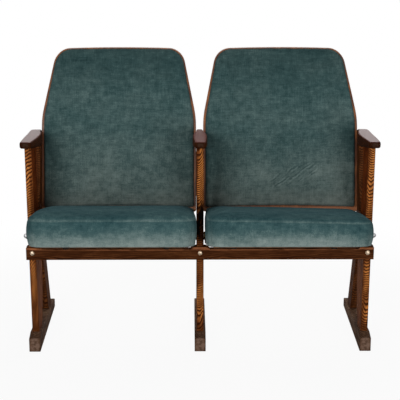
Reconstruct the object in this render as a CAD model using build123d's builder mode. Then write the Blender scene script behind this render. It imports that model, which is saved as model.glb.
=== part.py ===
from build123d import *

import os
from math import cos, radians, sin

# A two-seat auditorium bench. Three timber standards carry two seats that tip up and two bent
# plywood backs. X runs across the bench, the sitter faces -Y, Z is up and the floor is Z = 0.
# Left and right are as seen from the front. All sizes are in millimetres.

# ---------------------------------------------------------------- driving dimensions

# Layout
seat_pitch = 522.0  # centre to centre of the standards
board_thickness = 22.0  # boards of the standards

# Runners, which lie on the floor
runner_width = 35.0
runner_front_y = -113.0
runner_rear_y = 317.5
runner_nose_height = 43.0
runner_post_height = 53.0  # under the front edge of the post
runner_heel_height = 27.0
runner_edge = 2.5  # eased edges
floor_hole_radius = 3.5
floor_sink_radius = 7.0
floor_hole_front_y = -90.0
floor_hole_rear_y = 85.0

# Front posts
post_foot_y = -73.0  # front edge, at the runner
post_lean = 2.9  # degrees forwards
post_foot_depth = 73.0
post_belly_depth = 121.0
post_belly_height = 318.0
post_waist_depth = 95.0
post_waist_height = 505.0
post_head_depth = 116.0
board_edge = 2.0  # eased edges of the standing boards

# Rear legs
leg_foot_y = 188.0  # front edge, at the runner
leg_lean = 25.5  # degrees forwards
leg_width = 66.0

# Rear uprights, which carry the backs
crotch_y = 50.0  # front edge of the upright, where it leaves the leg
crotch_height = 415.0
upright_lean = 14.7  # degrees backwards
upright_width = 77.0
upright_shoulder = 12.0  # rounding of the top rear corner

# Joints between the boards
tenon_thickness = 10.0
tenon_depth = 22.0
tenon_shoulder = 10.0
dowel_radius = 4.0
dowel_length = 36.0
dowel_rise = 12.0  # how far an armrest dowel stands into the armrest
knee_dowel_spacing = 36.0
post_dowel_spacing = 24.0

# Armrests
arm_front_y = -165.0
arm_rear_y = 176.0
arm_front_under = 667.0
arm_under_fall = 9.4  # degrees down towards the rear
arm_front_depth = 20.0  # from the underside up, as are the next two
arm_middle_depth = 36.2
arm_rear_depth = 46.5
arm_palm_y = -75.0
arm_waist_y = 70.0
arm_tail_y = 146.0
arm_front_half = 17.0
arm_tail_half = 11.0  # beside a back
arm_middle_halves = (21.5, 18.5, arm_tail_half)  # of the middle armrest, at the palm, waist and tail
arm_inner_halves = (25.5, 22.5, arm_tail_half)  # the seat side of the outer armrests
arm_outer_halves = (19.0, 21.5, 25.0)  # their outer side
arm_corner = 10.0
arm_tail_corner = 15.0  # outer rear corner of the outer armrests
arm_edge = 6.5

# Front rail
rail_bottom_z = 296.0
rail_height = 34.0  # under the seats
rail_horn_height = 43.0  # over the posts
rail_horn_half = 18.0
rail_horn_slope = 12.0
rail_thickness = 22.0
rail_proud = 4.5  # stands in front of the posts
rail_overhang = 19.5  # past the centre of the outer standards
rail_corner = 6.0
rail_edge = 1.5
rail_screw_height = 22.5  # above the bottom of the rail
rail_screw_radius = 2.5
rail_screw_head = 5.0
rail_screw_dome = 1.3
rail_screw_neck = 0.4  # the cone of the head ends this far inside the rail
rail_screw_length = 62.0
cup_washer_radius = 7.5
cup_washer_rim = 6.0  # radius at the top
cup_washer_height = 2.2

# Rear rail
rear_rail_y = 135.0
rear_rail_z = 308.0
rear_rail_depth = 22.0
rear_rail_height = 22.0
rear_screw_length = 45.0

# Backs
back_side_clearance = 0.5  # to the standards
back_foot_y = 100.0  # front face of the plywood, at its bottom edge
back_foot_z = 400.0
back_lean = 13.0  # lower part, degrees
back_top_lean = 27.0  # upper part, degrees
back_bend_z = 704.0
back_bend_radius = 600.0
back_thickness = 12.0
back_top_z = 909.0
back_top_arch = 4.0
back_taper_z = 696.0
back_top_half = 205.0  # the tapered sides would meet the top here
back_taper_radius = 260.0
back_corner = 55.0
back_foot_corner = 6.0
back_spare = 50.0  # the bent slab is made longer by this, then cut to the outline
pad_thickness = 9.0
pad_side_margin = 7.5
pad_shoulder_margin = 3.5  # beside the top of the tapered sides
pad_top_margin = 3.0
pad_bottom_margin = 16.0
pad_corner = 52.0
pad_bottom_corner = 8.0

# Cleats that hold the backs to the uprights
cleat_size = 18.0
cleat_length = 140.0
cleat_rise = 45.0  # above the bottom edge of the plywood
cleat_screw_spacing = 55.0

# Seats. Along and up are measured from the pivot, square to the underside of the seat board.
pivot_y = -50.0
pivot_z = 363.0
pivot_rise = 2.0  # the pivot is this far above the underside of the seat board
seat_tilt = 9.3  # degrees down towards the rear
seat_board_front = 266.0  # in front of the pivot
seat_board_rear = 119.0  # behind the pivot
seat_board_thickness = 12.0
seat_board_corner = 46.0
cushion_side_gap = 3.0  # to the standards
cushion_front = 275.0
cushion_rear = 126.0
cushion_height = 75.0  # up to the top seam
cushion_crown = 16.0
cushion_tuck = 2.5  # the boxing pulls in at its seams
cushion_foot_tuck = 4.5
cushion_corner = 45.0
cushion_rear_corner = 30.0

# Battens under the seat board
side_batten_width = 24.0
side_batten_depth = 16.0
side_batten_front = 85.0
side_batten_rear = 112.0
landing_batten_width = 26.0
stop_batten_front = 36.0  # behind the pivot
stop_batten_width = 28.0
buffer_radius = 10.0
buffer_thickness = 6.0
buffer_inset = 62.0  # from the ends of the battens
stop_clearance = 0.3

# Hinge plates and pivots
plate_thickness = 4.0
plate_board_gap = 1.5  # to the edge of the seat board
plate_length = 120.0
plate_ear_radius = 14.0
plate_ear_foot = 54.0
plate_corner = 5.0
bush_radius = 8.0
bush_flange_radius = 11.0
bush_flange = 2.5
bush_gap = 1.0  # from the flange to the standard
pivot_radius = 6.0
pivot_clearance = 0.05
pivot_end_clearance = 0.5
pivot_pin_chamfer = 0.8
pivot_thread_radius = 5.0
pivot_thread_length = 12.0
pivot_washer_radius = 12.0
pivot_washer_thickness = 2.5
cap_nut_across = 17.0
cap_nut_height = 9.0
cap_nut_dome = 7.8

# Wood screws
screw_radius = 2.0
screw_head_radius = 4.0
screw_head_depth = 2.4
screw_tip = 5.0
plate_screw_length = 24.0
plate_screw_near = 26.0  # from the pivot, each way
plate_screw_far = 45.5
batten_screw_end = 14.0  # from the ends of the side battens
cross_screw_end = 20.0  # from the ends of the cross battens
batten_screw_margin = 3.0  # stops short of the top of the seat board
cleat_screw_length = 27.0
panel_screw_length = 26.0
panel_screw_inset = 12.5  # from the standards, so that the pads hide the heads

# ---------------------------------------------------------------- lines of the side view

# A line is a point (y, z) and a unit direction (y, z).


def leaning(y, z, lean):
    """The line through (y, z) that leans back by lean degrees from upright."""
    return (y, z), (sin(radians(lean)), cos(radians(lean)))


def falling(y, z, fall):
    """The line through (y, z) that falls by fall degrees towards the rear."""
    return (y, z), (cos(radians(fall)), -sin(radians(fall)))


def shifted(line, distance):
    """The parallel line: further back for a leaning line, lower for a falling one."""
    (y, z), (dy, dz) = line
    return (y + distance * dz, z - distance * dy), (dy, dz)


def meet(a, b):
    """The point where two lines cross."""
    (ay, az), (ady, adz) = a
    (by, bz), (bdy, bdz) = b
    t = ((by - ay) * bdz - (bz - az) * bdy) / (ady * bdz - adz * bdy)
    return ay + t * ady, az + t * adz


def y_at(line, z):
    """Where a line is at height z."""
    (y0, z0), (dy, dz) = line
    return y0 + (z - z0) * dy / dz


def z_at(line, y):
    """How high a line is at y."""
    (y0, z0), (dy, dz) = line
    return z0 + (y - y0) * dz / dy


runner_run = Vector(runner_rear_y - post_foot_y, runner_heel_height - runner_post_height).normalized()
runner_top = ((post_foot_y, runner_post_height), (runner_run.X, runner_run.Y))
post_front = leaning(post_foot_y, runner_post_height, -post_lean)
arm_under = falling(arm_front_y, arm_front_under, arm_under_fall)
leg_front = leaning(leg_foot_y, z_at(runner_top, leg_foot_y), -leg_lean)
leg_rear = shifted(leg_front, leg_width)
upright_front = leaning(crotch_y, crotch_height, upright_lean)
upright_rear = shifted(upright_front, upright_width)
knee = meet(leg_rear, upright_rear)
back_low = leaning(back_foot_y, back_foot_z, back_lean)
back_high = leaning(y_at(back_low, back_bend_z), back_bend_z, back_top_lean)

# ---------------------------------------------------------------- planes

half_board = board_thickness / 2
standard_x = {"left": -seat_pitch, "middle": 0.0, "right": seat_pitch}
seat_x = {"left": -seat_pitch / 2, "right": seat_pitch / 2}
clear_half = seat_pitch / 2 - half_board  # from the middle of a seat to the standards
plate_inner_half = clear_half - bush_gap - bush_flange - plate_thickness  # inner face of the hinge plates
seat_board_width = 2 * (plate_inner_half - plate_board_gap)
cushion_width = 2 * (clear_half - cushion_side_gap)

# The face of the front rail: x across, y up along the post, z forwards.
rail_plane = Plane(
    origin=(0, y_at(post_front, rail_bottom_z), rail_bottom_z),
    x_dir=(1, 0, 0),
    z_dir=(0, -cos(radians(post_lean)), -sin(radians(post_lean))),
)


def seat_base(x):
    """The underside of a seat board: x across, y to the rear from the pivot, z up."""
    pivot = Plane(
        origin=(x, pivot_y, pivot_z),
        x_dir=(1, 0, 0),
        z_dir=(0, sin(radians(seat_tilt)), cos(radians(seat_tilt))),
    )
    return pivot.offset(-pivot_rise)


def seat_side(x, across):
    """The side view of a seat, across from its middle: x to the rear, y up."""
    return Plane(seat_base(x).location * Plane.YZ.offset(across).location)


def seat_front(x):
    """The front view of a seat at the pivot: x across, y up."""
    return Plane(seat_base(x).location * Plane.XZ.location)


# ---------------------------------------------------------------- shared shapes


def save(part, name):
    """Labels a finished piece and writes it."""
    part.label = name
    export_step(part, f"parts/{name}.step")


def tenon(x, y_front, y_rear):
    """The tongue under a board that stands on the runner from y_front to y_rear."""
    front = y_front + tenon_shoulder
    rear = y_rear - tenon_shoulder
    with BuildPart() as tongue:
        with BuildSketch(Plane.YZ.offset(x)):
            with BuildLine():
                Polyline(
                    (front, z_at(runner_top, front)),
                    (front, z_at(runner_top, front) - tenon_depth),
                    (rear, z_at(runner_top, front) - tenon_depth),
                    (rear, z_at(runner_top, rear)),
                    close=True,
                )
            make_face()
        extrude(amount=tenon_thickness / 2, both=True)
    return tongue.part


def post_foot_span():
    """Where the post stands on the runner, front and rear."""
    return post_foot_y, post_foot_y + post_foot_depth


def leg_foot_span():
    """Where the rear leg stands on the runner, front and rear."""
    return leg_foot_y, meet(leg_rear, runner_top)[0]


def post_rear_y(height, depth):
    """The rear edge of a post that is depth deep at a height."""
    return y_at(post_front, height) + depth


def post_blank(x, thickness):
    """The board of a front post, before its joints are cut."""
    head = meet(post_front, arm_under)
    head_rear_y = head[0] + post_head_depth
    foot_front, foot_rear = post_foot_span()
    with BuildPart() as blank:
        with BuildSketch(Plane.YZ.offset(x)):
            with BuildLine():
                Line((foot_front, runner_post_height), head)
                Line(head, (head_rear_y, z_at(arm_under, head_rear_y)))
                Spline(
                    (head_rear_y, z_at(arm_under, head_rear_y)),
                    (post_rear_y(post_waist_height, post_waist_depth), post_waist_height),
                    (post_rear_y(post_belly_height, post_belly_depth), post_belly_height),
                    (foot_rear, z_at(runner_top, foot_rear)),
                )
                Line((foot_rear, z_at(runner_top, foot_rear)), (foot_front, runner_post_height))
            make_face()
        extrude(amount=thickness / 2, both=True)
        front_edges = blank.edges().filter_by(Axis((0, 0, 0), (0, *post_front[1])))
        fillet(front_edges, board_edge)
    return blank.part


def wood_screws(places, length):
    """Countersunk wood screws, each at (middle of the head, way out of the wood)."""
    with BuildPart() as one:
        with BuildSketch(Plane.XZ):
            with BuildLine():
                Polyline(
                    (0, 0),
                    (screw_head_radius, 0),
                    (screw_radius, -screw_head_depth),
                    (screw_radius, screw_tip - length),
                    (0, -length),
                    close=True,
                )
            make_face()
        revolve(axis=Axis.Z)
    with BuildPart() as screws:
        with Locations(*(Plane(origin=head, z_dir=out) for head, out in places)):
            add(one.part)
    return screws.part


# ---------------------------------------------------------------- fasteners of the standards


def dowel_places():
    """Planes at the middle of every dowel of the three standards, z along the dowel."""
    middle = Vector((crotch_y + knee[0]) / 2, (crotch_height + knee[1]) / 2)
    joint = Vector(knee[0] - crotch_y, knee[1] - crotch_height).normalized()
    post_joint_z = (crotch_height + post_belly_height) / 2 + post_dowel_spacing / 2
    arm_drop = dowel_length / 2 - dowel_rise
    head_front = meet(post_front, arm_under)[0]
    head_middle = head_front + post_head_depth / 2
    upright_head = (meet(upright_front, arm_under)[0] + arm_rear_y) / 2
    for x in standard_x.values():
        for step in (-0.5, 0.5):
            at = middle + joint * (step * knee_dowel_spacing)
            yield Plane(origin=(x, at.X, at.Y), z_dir=(0, -joint.Y, joint.X))
            z = post_joint_z + step * post_dowel_spacing
            y = post_rear_y(z, post_belly_depth)
            yield Plane(origin=(x, y, z), z_dir=(0, 1, 0))
            y = head_middle + step * post_head_depth / 2
            yield Plane(origin=(x, y, z_at(arm_under, y) - arm_drop), z_dir=(0, 0, 1))
        z = z_at(arm_under, upright_head) - arm_drop
        yield Plane(origin=(x, upright_head, z), z_dir=(0, 0, 1))


with BuildPart() as frame_dowels:
    with Locations(*dowel_places()):
        Cylinder(dowel_radius, dowel_length)

# Raised-head screws of the front rail; the underside of the head is a cone in the cup washer.
with BuildPart() as rail_screw:
    with BuildSketch(Plane.XZ):
        with BuildLine():
            head_edge = (rail_screw_head, cup_washer_height)
            head_top = (0, cup_washer_height + rail_screw_dome)
            TangentArc(head_top, head_edge, tangent=(1, 0))
            Polyline(
                head_top,
                (0, -rail_screw_length),
                (rail_screw_radius, screw_tip - rail_screw_length),
                (rail_screw_radius, -rail_screw_neck),
                head_edge,
            )
        make_face()
    revolve(axis=Axis.Z)

rail_screw_places = [
    Plane(rail_plane.location * Location((x, rail_screw_height, rail_proud)))
    for x in standard_x.values()
]
with BuildPart() as rail_screws:
    with Locations(*rail_screw_places):
        add(rail_screw.part)

with BuildPart() as rail_cup_washers:
    with Locations(*rail_screw_places):
        Cone(
            cup_washer_radius,
            cup_washer_rim,
            cup_washer_height,
            align=(Align.CENTER, Align.CENTER, Align.MIN),
        )
    add(rail_screws.part, mode=Mode.SUBTRACT)

rear_screw_face = rear_rail_y + rear_rail_depth / 2
rear_rail_screws = wood_screws(
    [((x, rear_screw_face, rear_rail_z), (0, 1, 0)) for x in standard_x.values()], rear_screw_length
)

# ---------------------------------------------------------------- rails

with BuildPart() as front_rail:
    with BuildSketch(rail_plane.offset(rail_proud)):
        end_x = seat_pitch + rail_overhang
        horn_foot = rail_horn_half + rail_horn_slope
        with BuildLine():
            Polyline(
                (0, 0),
                (end_x, 0),
                (end_x, rail_horn_height),
                (seat_pitch - rail_horn_half, rail_horn_height),
                (seat_pitch - horn_foot, rail_height),
                (horn_foot, rail_height),
                (rail_horn_half, rail_horn_height),
                (0, rail_horn_height),
                close=True,
            )
        make_face()
        fillet(vertices().sort_by(lambda corner: corner.X + corner.Y)[-1], rail_corner)
        mirror(about=Plane.YZ)
    extrude(amount=-rail_thickness)
    rail_face = front_rail.faces().sort_by(Axis(rail_plane.origin, rail_plane.z_dir))[-1]
    fillet(rail_face.edges(), rail_edge)
rail_blank = front_rail.part
with BuildPart() as front_rail:
    add(rail_blank)
    add(rail_screws.part, mode=Mode.SUBTRACT)

with BuildPart() as rear_rail_bar:
    with Locations((0, rear_rail_y, rear_rail_z)):
        Box(2 * (seat_pitch + half_board), rear_rail_depth, rear_rail_height)
    long_edges = rear_rail_bar.edges().filter_by(Axis.X)
    fillet(long_edges.group_by(Axis.Y)[-1], board_edge)
with BuildPart() as rear_rail:
    add(rear_rail_bar.part)
    add(rear_rail_screws, mode=Mode.SUBTRACT)

# The notch in a post is as wide as the rail's flat horn, so the plain section of the rail cuts it.
with BuildPart() as rail_notch:
    with BuildSketch(rail_plane.offset(rail_proud)):
        Rectangle(2 * end_x, rail_horn_height, align=(Align.CENTER, Align.MIN))
    extrude(amount=-rail_thickness)

# ---------------------------------------------------------------- standards


def make_runner(name, x):
    """A foot that lies on the floor: low heel, nose chamfered in front of the post."""
    with BuildPart() as runner:
        with BuildSketch(Plane.YZ.offset(x)):
            with BuildLine():
                Polyline(
                    (runner_front_y, 0),
                    (runner_rear_y, 0),
                    (runner_rear_y, runner_heel_height),
                    (post_foot_y, runner_post_height),
                    (runner_front_y, runner_nose_height),
                    close=True,
                )
            make_face()
        extrude(amount=runner_width / 2, both=True)
        upper = runner.edges().filter_by_position(Axis.Z, runner_edge, runner_post_height)
        fillet(upper, runner_edge)
        add(tenon(x, *post_foot_span()), mode=Mode.SUBTRACT)
        add(tenon(x, *leg_foot_span()), mode=Mode.SUBTRACT)
        for y in (floor_hole_front_y, floor_hole_rear_y):
            top = z_at(runner_top, y)
            if y < post_foot_y:
                slope = (runner_post_height - runner_nose_height) / (post_foot_y - runner_front_y)
                top = runner_post_height + (y - post_foot_y) * slope
            with Locations((x, y, top)):
                CounterSinkHole(floor_hole_radius, floor_sink_radius)
    save(runner.part, name)


def make_front_post(name, x):
    """The shaped board that carries the rail, the pivot and the front of the armrest."""
    with BuildPart() as post:
        add(post_blank(x, board_thickness))
        add(tenon(x, *post_foot_span()))
        add(rail_notch.part, mode=Mode.SUBTRACT)
        add(frame_dowels.part, mode=Mode.SUBTRACT)
        add(rail_screws.part, mode=Mode.SUBTRACT)
        with Locations(Plane(origin=(x, pivot_y, pivot_z), z_dir=(1, 0, 0))):
            Cylinder(pivot_radius, 2 * board_thickness, mode=Mode.SUBTRACT)
    save(post.part, name)


def make_rear_leg(name, x):
    """The slanting board from the runner to the knee, fitted to the back of the post."""
    with BuildPart() as leg:
        with BuildSketch(Plane.YZ.offset(x)):
            with BuildLine():
                Polyline(
                    (leg_foot_y, z_at(runner_top, leg_foot_y)),
                    (y_at(leg_front, crotch_height), crotch_height),
                    (crotch_y, crotch_height),
                    knee,
                    meet(leg_rear, runner_top),
                    close=True,
                )
            make_face()
        extrude(amount=half_board, both=True)
        fillet(leg.edges().filter_by(Axis((0, 0, 0), (0, *leg_front[1]))), board_edge)
        add(post_blank(x, 2 * board_thickness), mode=Mode.SUBTRACT)
        add(tenon(x, *leg_foot_span()))
        add(rear_rail_bar.part, mode=Mode.SUBTRACT)
        add(rear_rail_screws, mode=Mode.SUBTRACT)
        add(frame_dowels.part, mode=Mode.SUBTRACT)
    save(leg.part, name)


def make_upright(name, x):
    """The leaning board between the knee and the armrest, which carries the backs."""
    with BuildPart() as upright:
        with BuildSketch(Plane.YZ.offset(x)):
            head_rear = meet(upright_rear, arm_under)
            with BuildLine():
                Polyline(
                    (crotch_y, crotch_height),
                    knee,
                    head_rear,
                    meet(upright_front, arm_under),
                    close=True,
                )
            make_face()
            fillet(vertices().sort_by_distance(head_rear)[0], upright_shoulder)
        extrude(amount=half_board, both=True)
        fillet(upright.edges().filter_by(Axis((0, 0, 0), (0, *upright_front[1]))), board_edge)
        add(frame_dowels.part, mode=Mode.SUBTRACT)
        add(cleat_screws, mode=Mode.SUBTRACT)
    save(upright.part, name)


def make_armrest(name, x):
    """An armrest: a palm that swells towards each seat, and a tail between the backs."""
    stations = (arm_front_y, arm_palm_y, arm_waist_y, arm_tail_y, arm_rear_y)
    inner = arm_middle_halves if name.startswith("middle") else arm_inner_halves
    left = arm_outer_halves if name.startswith("left") else inner
    right = arm_outer_halves if name.startswith("right") else inner
    left_half, right_half = ((arm_front_half, *halves, halves[-1]) for halves in (left, right))
    arm_middle_y = (arm_front_y + arm_rear_y) / 2
    with BuildPart() as arm:
        with BuildSketch():
            with BuildLine():
                Spline(*((x - half, y) for half, y in zip(left_half, stations)))
                Line((x - left_half[-1], arm_rear_y), (x + right_half[-1], arm_rear_y))
                Spline(*((x + half, y) for half, y in zip(right_half, stations)))
                Line((x - arm_front_half, arm_front_y), (x + arm_front_half, arm_front_y))
            make_face()
            fillet(vertices().group_by(Axis.Y)[0], arm_corner)
            if name != "middle_armrest":
                fillet(vertices().group_by(Axis.Y)[-1].sort_by(lambda corner: abs(corner.X))[-1], arm_tail_corner)
        extrude(amount=2 * arm_front_under)
        with BuildSketch(Plane.YZ.offset(x)):
            depths = {arm_front_y: arm_front_depth, arm_middle_y: arm_middle_depth, arm_rear_y: arm_rear_depth}
            upper = [(y, z_at(arm_under, y) + depth) for y, depth in depths.items()]
            lower = [(y, z_at(arm_under, y)) for y in (arm_front_y, arm_rear_y)]
            with BuildLine():
                Line(lower[0], upper[0])
                Spline(*upper)
                Line(upper[-1], lower[1])
                Line(lower[1], lower[0])
            make_face()
        extrude(amount=seat_pitch / 2, both=True, mode=Mode.INTERSECT)
        by_height = arm.faces().sort_by(Axis.Z)
        fillet(by_height[0].edges() + by_height[-1].edges(), arm_edge)
        add(frame_dowels.part, mode=Mode.SUBTRACT)
    save(arm.part, name)


# ---------------------------------------------------------------- backs


def back_layer(x, near, far, width):
    """A slab bent like the backs, between two distances behind the front of the plywood."""
    spare_foot = back_foot_z - back_spare
    spare_head = back_top_z + back_spare
    with BuildPart() as layer:
        with BuildSketch(Plane.YZ.offset(x)):
            ends = []
            with BuildLine():
                for depth in (near, far):
                    low = shifted(back_low, depth)
                    high = shifted(back_high, depth)
                    foot = (y_at(low, spare_foot), spare_foot)
                    head = (y_at(high, spare_head), spare_head)
                    FilletPolyline(foot, meet(low, high), head, radius=back_bend_radius - depth)
                    ends.append((foot, head))
                Line(ends[0][0], ends[1][0])
                Line(ends[0][1], ends[1][1])
            make_face()
        extrude(amount=width, both=True)
    return layer.part


def back_outline(side_margin, shoulder_margin, top_margin, bottom_margin, corner, bottom_corner):
    """The front view of a back, or of the pad that lies within it by the margins."""
    foot_half = clear_half - back_side_clearance - side_margin
    top_half = back_top_half - shoulder_margin
    bottom = back_foot_z + bottom_margin
    top = back_top_z - back_top_arch - top_margin
    with BuildSketch() as outline:
        with BuildLine():
            Polyline(
                (top_half, top),
                (foot_half, back_taper_z),
                (foot_half, bottom),
                (-foot_half, bottom),
                (-foot_half, back_taper_z),
                (-top_half, top),
            )
            ThreePointArc((top_half, top), (0, top + back_top_arch), (-top_half, top))
        make_face()
        at_foot, at_taper, at_top = outline.vertices().group_by(Axis.Y)
        fillet(at_top, corner)
        for corners, radius in ((at_taper, back_taper_radius), (at_foot, bottom_corner)):
            fillet([outline.vertices().sort_by_distance(point)[0] for point in corners], radius)
    return outline.sketch


def back_front_plane(x):
    """The front view of a back: x across, y up."""
    return Plane(origin=(x, 0, 0), x_dir=(1, 0, 0), z_dir=(0, -1, 0))


def make_back_panel(name, x):
    """The bent plywood back."""
    outline = back_outline(0, 0, 0, 0, back_corner, back_foot_corner)
    with BuildPart() as panel:
        add(back_layer(x, 0, back_thickness, seat_pitch / 2))
        with BuildSketch(back_front_plane(x)):
            add(outline)
        extrude(amount=seat_pitch, both=True, mode=Mode.INTERSECT)
        add(panel_screws, mode=Mode.SUBTRACT)
    save(panel.part, name)


def make_back_pad(name, x):
    """The thin upholstered pad on the front of the plywood."""
    margins = (pad_side_margin, pad_shoulder_margin, pad_top_margin, pad_bottom_margin)
    outline = back_outline(*margins, pad_corner, pad_bottom_corner)
    with BuildPart() as pad:
        add(back_layer(x, -pad_thickness, 0, seat_pitch / 2))
        with BuildSketch(back_front_plane(x)):
            add(outline)
        extrude(amount=seat_pitch, both=True, mode=Mode.INTERSECT)
    save(pad.part, name)


cleat_front = shifted(back_low, back_thickness)
cleat_rear = shifted(cleat_front, cleat_size)
cleat_middle_z = back_foot_z + cleat_rise + cleat_length / 2
lean_y, lean_z = back_low[1]


def cleat_point(line, along):
    """The point of a line of the cleats, along from its middle."""
    y, z = y_at(line, cleat_middle_z), cleat_middle_z
    return y + along * lean_y, z + along * lean_z


def cleat_screw_places():
    """Screws through each cleat into the upright, and through the plywood into the cleat."""
    into_upright, into_cleat = [], []
    centre_line = shifted(cleat_front, cleat_size / 2)
    for x in seat_x.values():
        for side in (-1, 1):
            for step in (-1, 0, 1):
                along = step * cleat_screw_spacing
                y, z = cleat_point(centre_line, along)
                inner_x = x + side * (clear_half - cleat_size)
                into_upright.append(((inner_x, y, z), (-side, 0, 0)))
                y, z = cleat_point(back_low, along + cleat_screw_spacing / 4)
                head_x = x + side * (clear_half - panel_screw_inset)
                into_cleat.append(((head_x, y, z), (0, -lean_z, lean_y)))
    return into_upright, into_cleat


into_upright, into_cleat = cleat_screw_places()
cleat_screws = wood_screws(into_upright, cleat_screw_length)
panel_screws = wood_screws(into_cleat, panel_screw_length)


def make_back_cleat(name, x, side):
    """The hardwood strip between an upright and the rear face of the plywood."""
    half = cleat_length / 2
    with BuildPart() as cleat:
        with BuildSketch(Plane.YZ.offset(x + side * clear_half)):
            with BuildLine():
                Polyline(
                    cleat_point(cleat_front, -half),
                    cleat_point(cleat_rear, -half),
                    cleat_point(cleat_rear, half),
                    cleat_point(cleat_front, half),
                    close=True,
                )
            make_face()
        extrude(amount=-side * cleat_size)
        add(cleat_screws, mode=Mode.SUBTRACT)
        add(panel_screws, mode=Mode.SUBTRACT)
    save(cleat.part, name)


# ---------------------------------------------------------------- pivots


def outer_pivot_plane(side):
    """The outer face of an outer post at the pivot, z away from the bench."""
    return Plane(
        origin=(side * (seat_pitch + half_board), pivot_y, pivot_z), x_dir=(0, 1, 0), z_dir=(side, 0, 0)
    )


def make_pivots():
    """The pins that the seats turn on: a bolt in each outer post and a pin through the middle one."""
    ear_gap = clear_half - plate_inner_half - pivot_end_clearance
    with BuildPart() as bolts:
        for side in (-1, 1):
            with Locations(outer_pivot_plane(side)):
                Cylinder(
                    pivot_radius,
                    board_thickness + ear_gap,
                    align=(Align.CENTER, Align.CENTER, Align.MAX),
                )
                Cylinder(
                    pivot_thread_radius,
                    pivot_washer_thickness + pivot_thread_length,
                    align=(Align.CENTER, Align.CENTER, Align.MIN),
                )
    save(bolts.part, "outer_pivot_bolts")

    with BuildPart() as pin:
        with Locations(Plane(origin=(0, pivot_y, pivot_z), z_dir=(1, 0, 0))):
            Cylinder(pivot_radius, board_thickness + 2 * ear_gap)
        chamfer(pin.edges(), pivot_pin_chamfer)
    save(pin.part, "middle_pivot_pin")

    with BuildPart() as washers:
        for side in (-1, 1):
            with BuildSketch(outer_pivot_plane(side)):
                Circle(pivot_washer_radius)
                Circle(pivot_thread_radius, mode=Mode.SUBTRACT)
            extrude(amount=pivot_washer_thickness)
    save(washers.part, "pivot_washers")

    with BuildPart() as nuts:
        for side in (-1, 1):
            seat = outer_pivot_plane(side).offset(pivot_washer_thickness)
            with BuildSketch(seat):
                RegularPolygon(cap_nut_across / 2, 6, major_radius=False)
            extrude(amount=cap_nut_height)
            with Locations(seat.offset(cap_nut_height)):
                Sphere(cap_nut_dome)
            with Locations(seat):
                Cylinder(
                    pivot_thread_radius,
                    pivot_thread_length,
                    align=(Align.CENTER, Align.CENTER, Align.MIN),
                    mode=Mode.SUBTRACT,
                )
    save(nuts.part, "pivot_cap_nuts")


# ---------------------------------------------------------------- seats


def seat_board_sketch():
    """The plan of a seat board, on the current plane."""
    with Locations((0, (seat_board_rear - seat_board_front) / 2)):
        Rectangle(seat_board_width, seat_board_front + seat_board_rear)
    fillet(vertices().group_by(Axis.Y)[0], seat_board_corner)
    fillet(vertices().group_by(Axis.Y)[-1], cushion_rear_corner)


def make_seat_board(prefix, x, screws):
    """The plywood board under the cushion."""
    with BuildPart() as board:
        with BuildSketch(seat_base(x)):
            seat_board_sketch()
        extrude(amount=seat_board_thickness)
        for group in screws:
            add(group, mode=Mode.SUBTRACT)
    save(board.part, f"{prefix}_seat_board")


def boxing_profile(low, high):
    """A boxed cushion's section from low to high: bulging walls and a crowned top."""
    foot = cushion_foot_tuck
    middle = (low + high) / 2
    with BuildSketch() as section:
        with BuildLine():
            Line((low + foot, 0), (high - foot, 0))
            for side, inward in ((low, 1), (high, -1)):
                ThreePointArc(
                    (side + inward * foot, 0),
                    (side, cushion_height / 2),
                    (side + inward * cushion_tuck, cushion_height),
                )
            ThreePointArc(
                (low + cushion_tuck, cushion_height),
                (middle, cushion_height + cushion_crown),
                (high - cushion_tuck, cushion_height),
            )
        make_face()
    return section.sketch


def make_cushion(prefix, x):
    """The boxed cushion; its cover wraps the edges of the seat board."""
    reach = cushion_front + cushion_rear
    half = cushion_width / 2
    side_section = boxing_profile(-cushion_front, cushion_rear)
    front_section = boxing_profile(-half, half)
    with BuildPart(seat_base(x)) as cushion:
        with BuildSketch(seat_base(x)):
            with Locations((0, (cushion_rear - cushion_front) / 2)):
                Rectangle(cushion_width, reach)
            fillet(vertices().group_by(Axis.Y)[0], cushion_corner)
            fillet(vertices().group_by(Axis.Y)[-1], cushion_rear_corner)
        extrude(amount=cushion_height + cushion_crown)
        with BuildSketch(seat_side(x, 0)):
            add(side_section)
        extrude(amount=cushion_width, both=True, mode=Mode.INTERSECT)
        with BuildSketch(seat_front(x)):
            add(front_section)
        extrude(amount=reach, both=True, mode=Mode.INTERSECT)
        with BuildSketch(seat_base(x)):
            seat_board_sketch()
        extrude(amount=seat_board_thickness, mode=Mode.SUBTRACT)
        # The cover is pressed in behind the ear of each hinge plate.
        ear_top = pivot_rise + plate_ear_radius
        for side in (-1, 1):
            with Locations((side * (plate_inner_half + plate_thickness), 0, ear_top / 2)):
                Box(2 * plate_thickness, plate_ear_foot, ear_top, mode=Mode.SUBTRACT)
    save(cushion.part, f"{prefix}_seat_cushion")


def make_side_batten(prefix, x, side, place, screws):
    """The strip under each side of the board that the hinge plate is screwed to."""
    middle = (side_batten_rear - side_batten_front) / 2
    across = plate_inner_half - side_batten_width / 2
    with BuildPart() as batten:
        with Locations(seat_base(x)), Locations((side * across, middle, 0)):
            Box(
                side_batten_width,
                side_batten_front + side_batten_rear,
                side_batten_depth,
                align=(Align.CENTER, Align.CENTER, Align.MAX),
            )
        for group in screws:
            add(group, mode=Mode.SUBTRACT)
    save(batten.part, f"{prefix}_{place}_side_batten")


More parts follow.
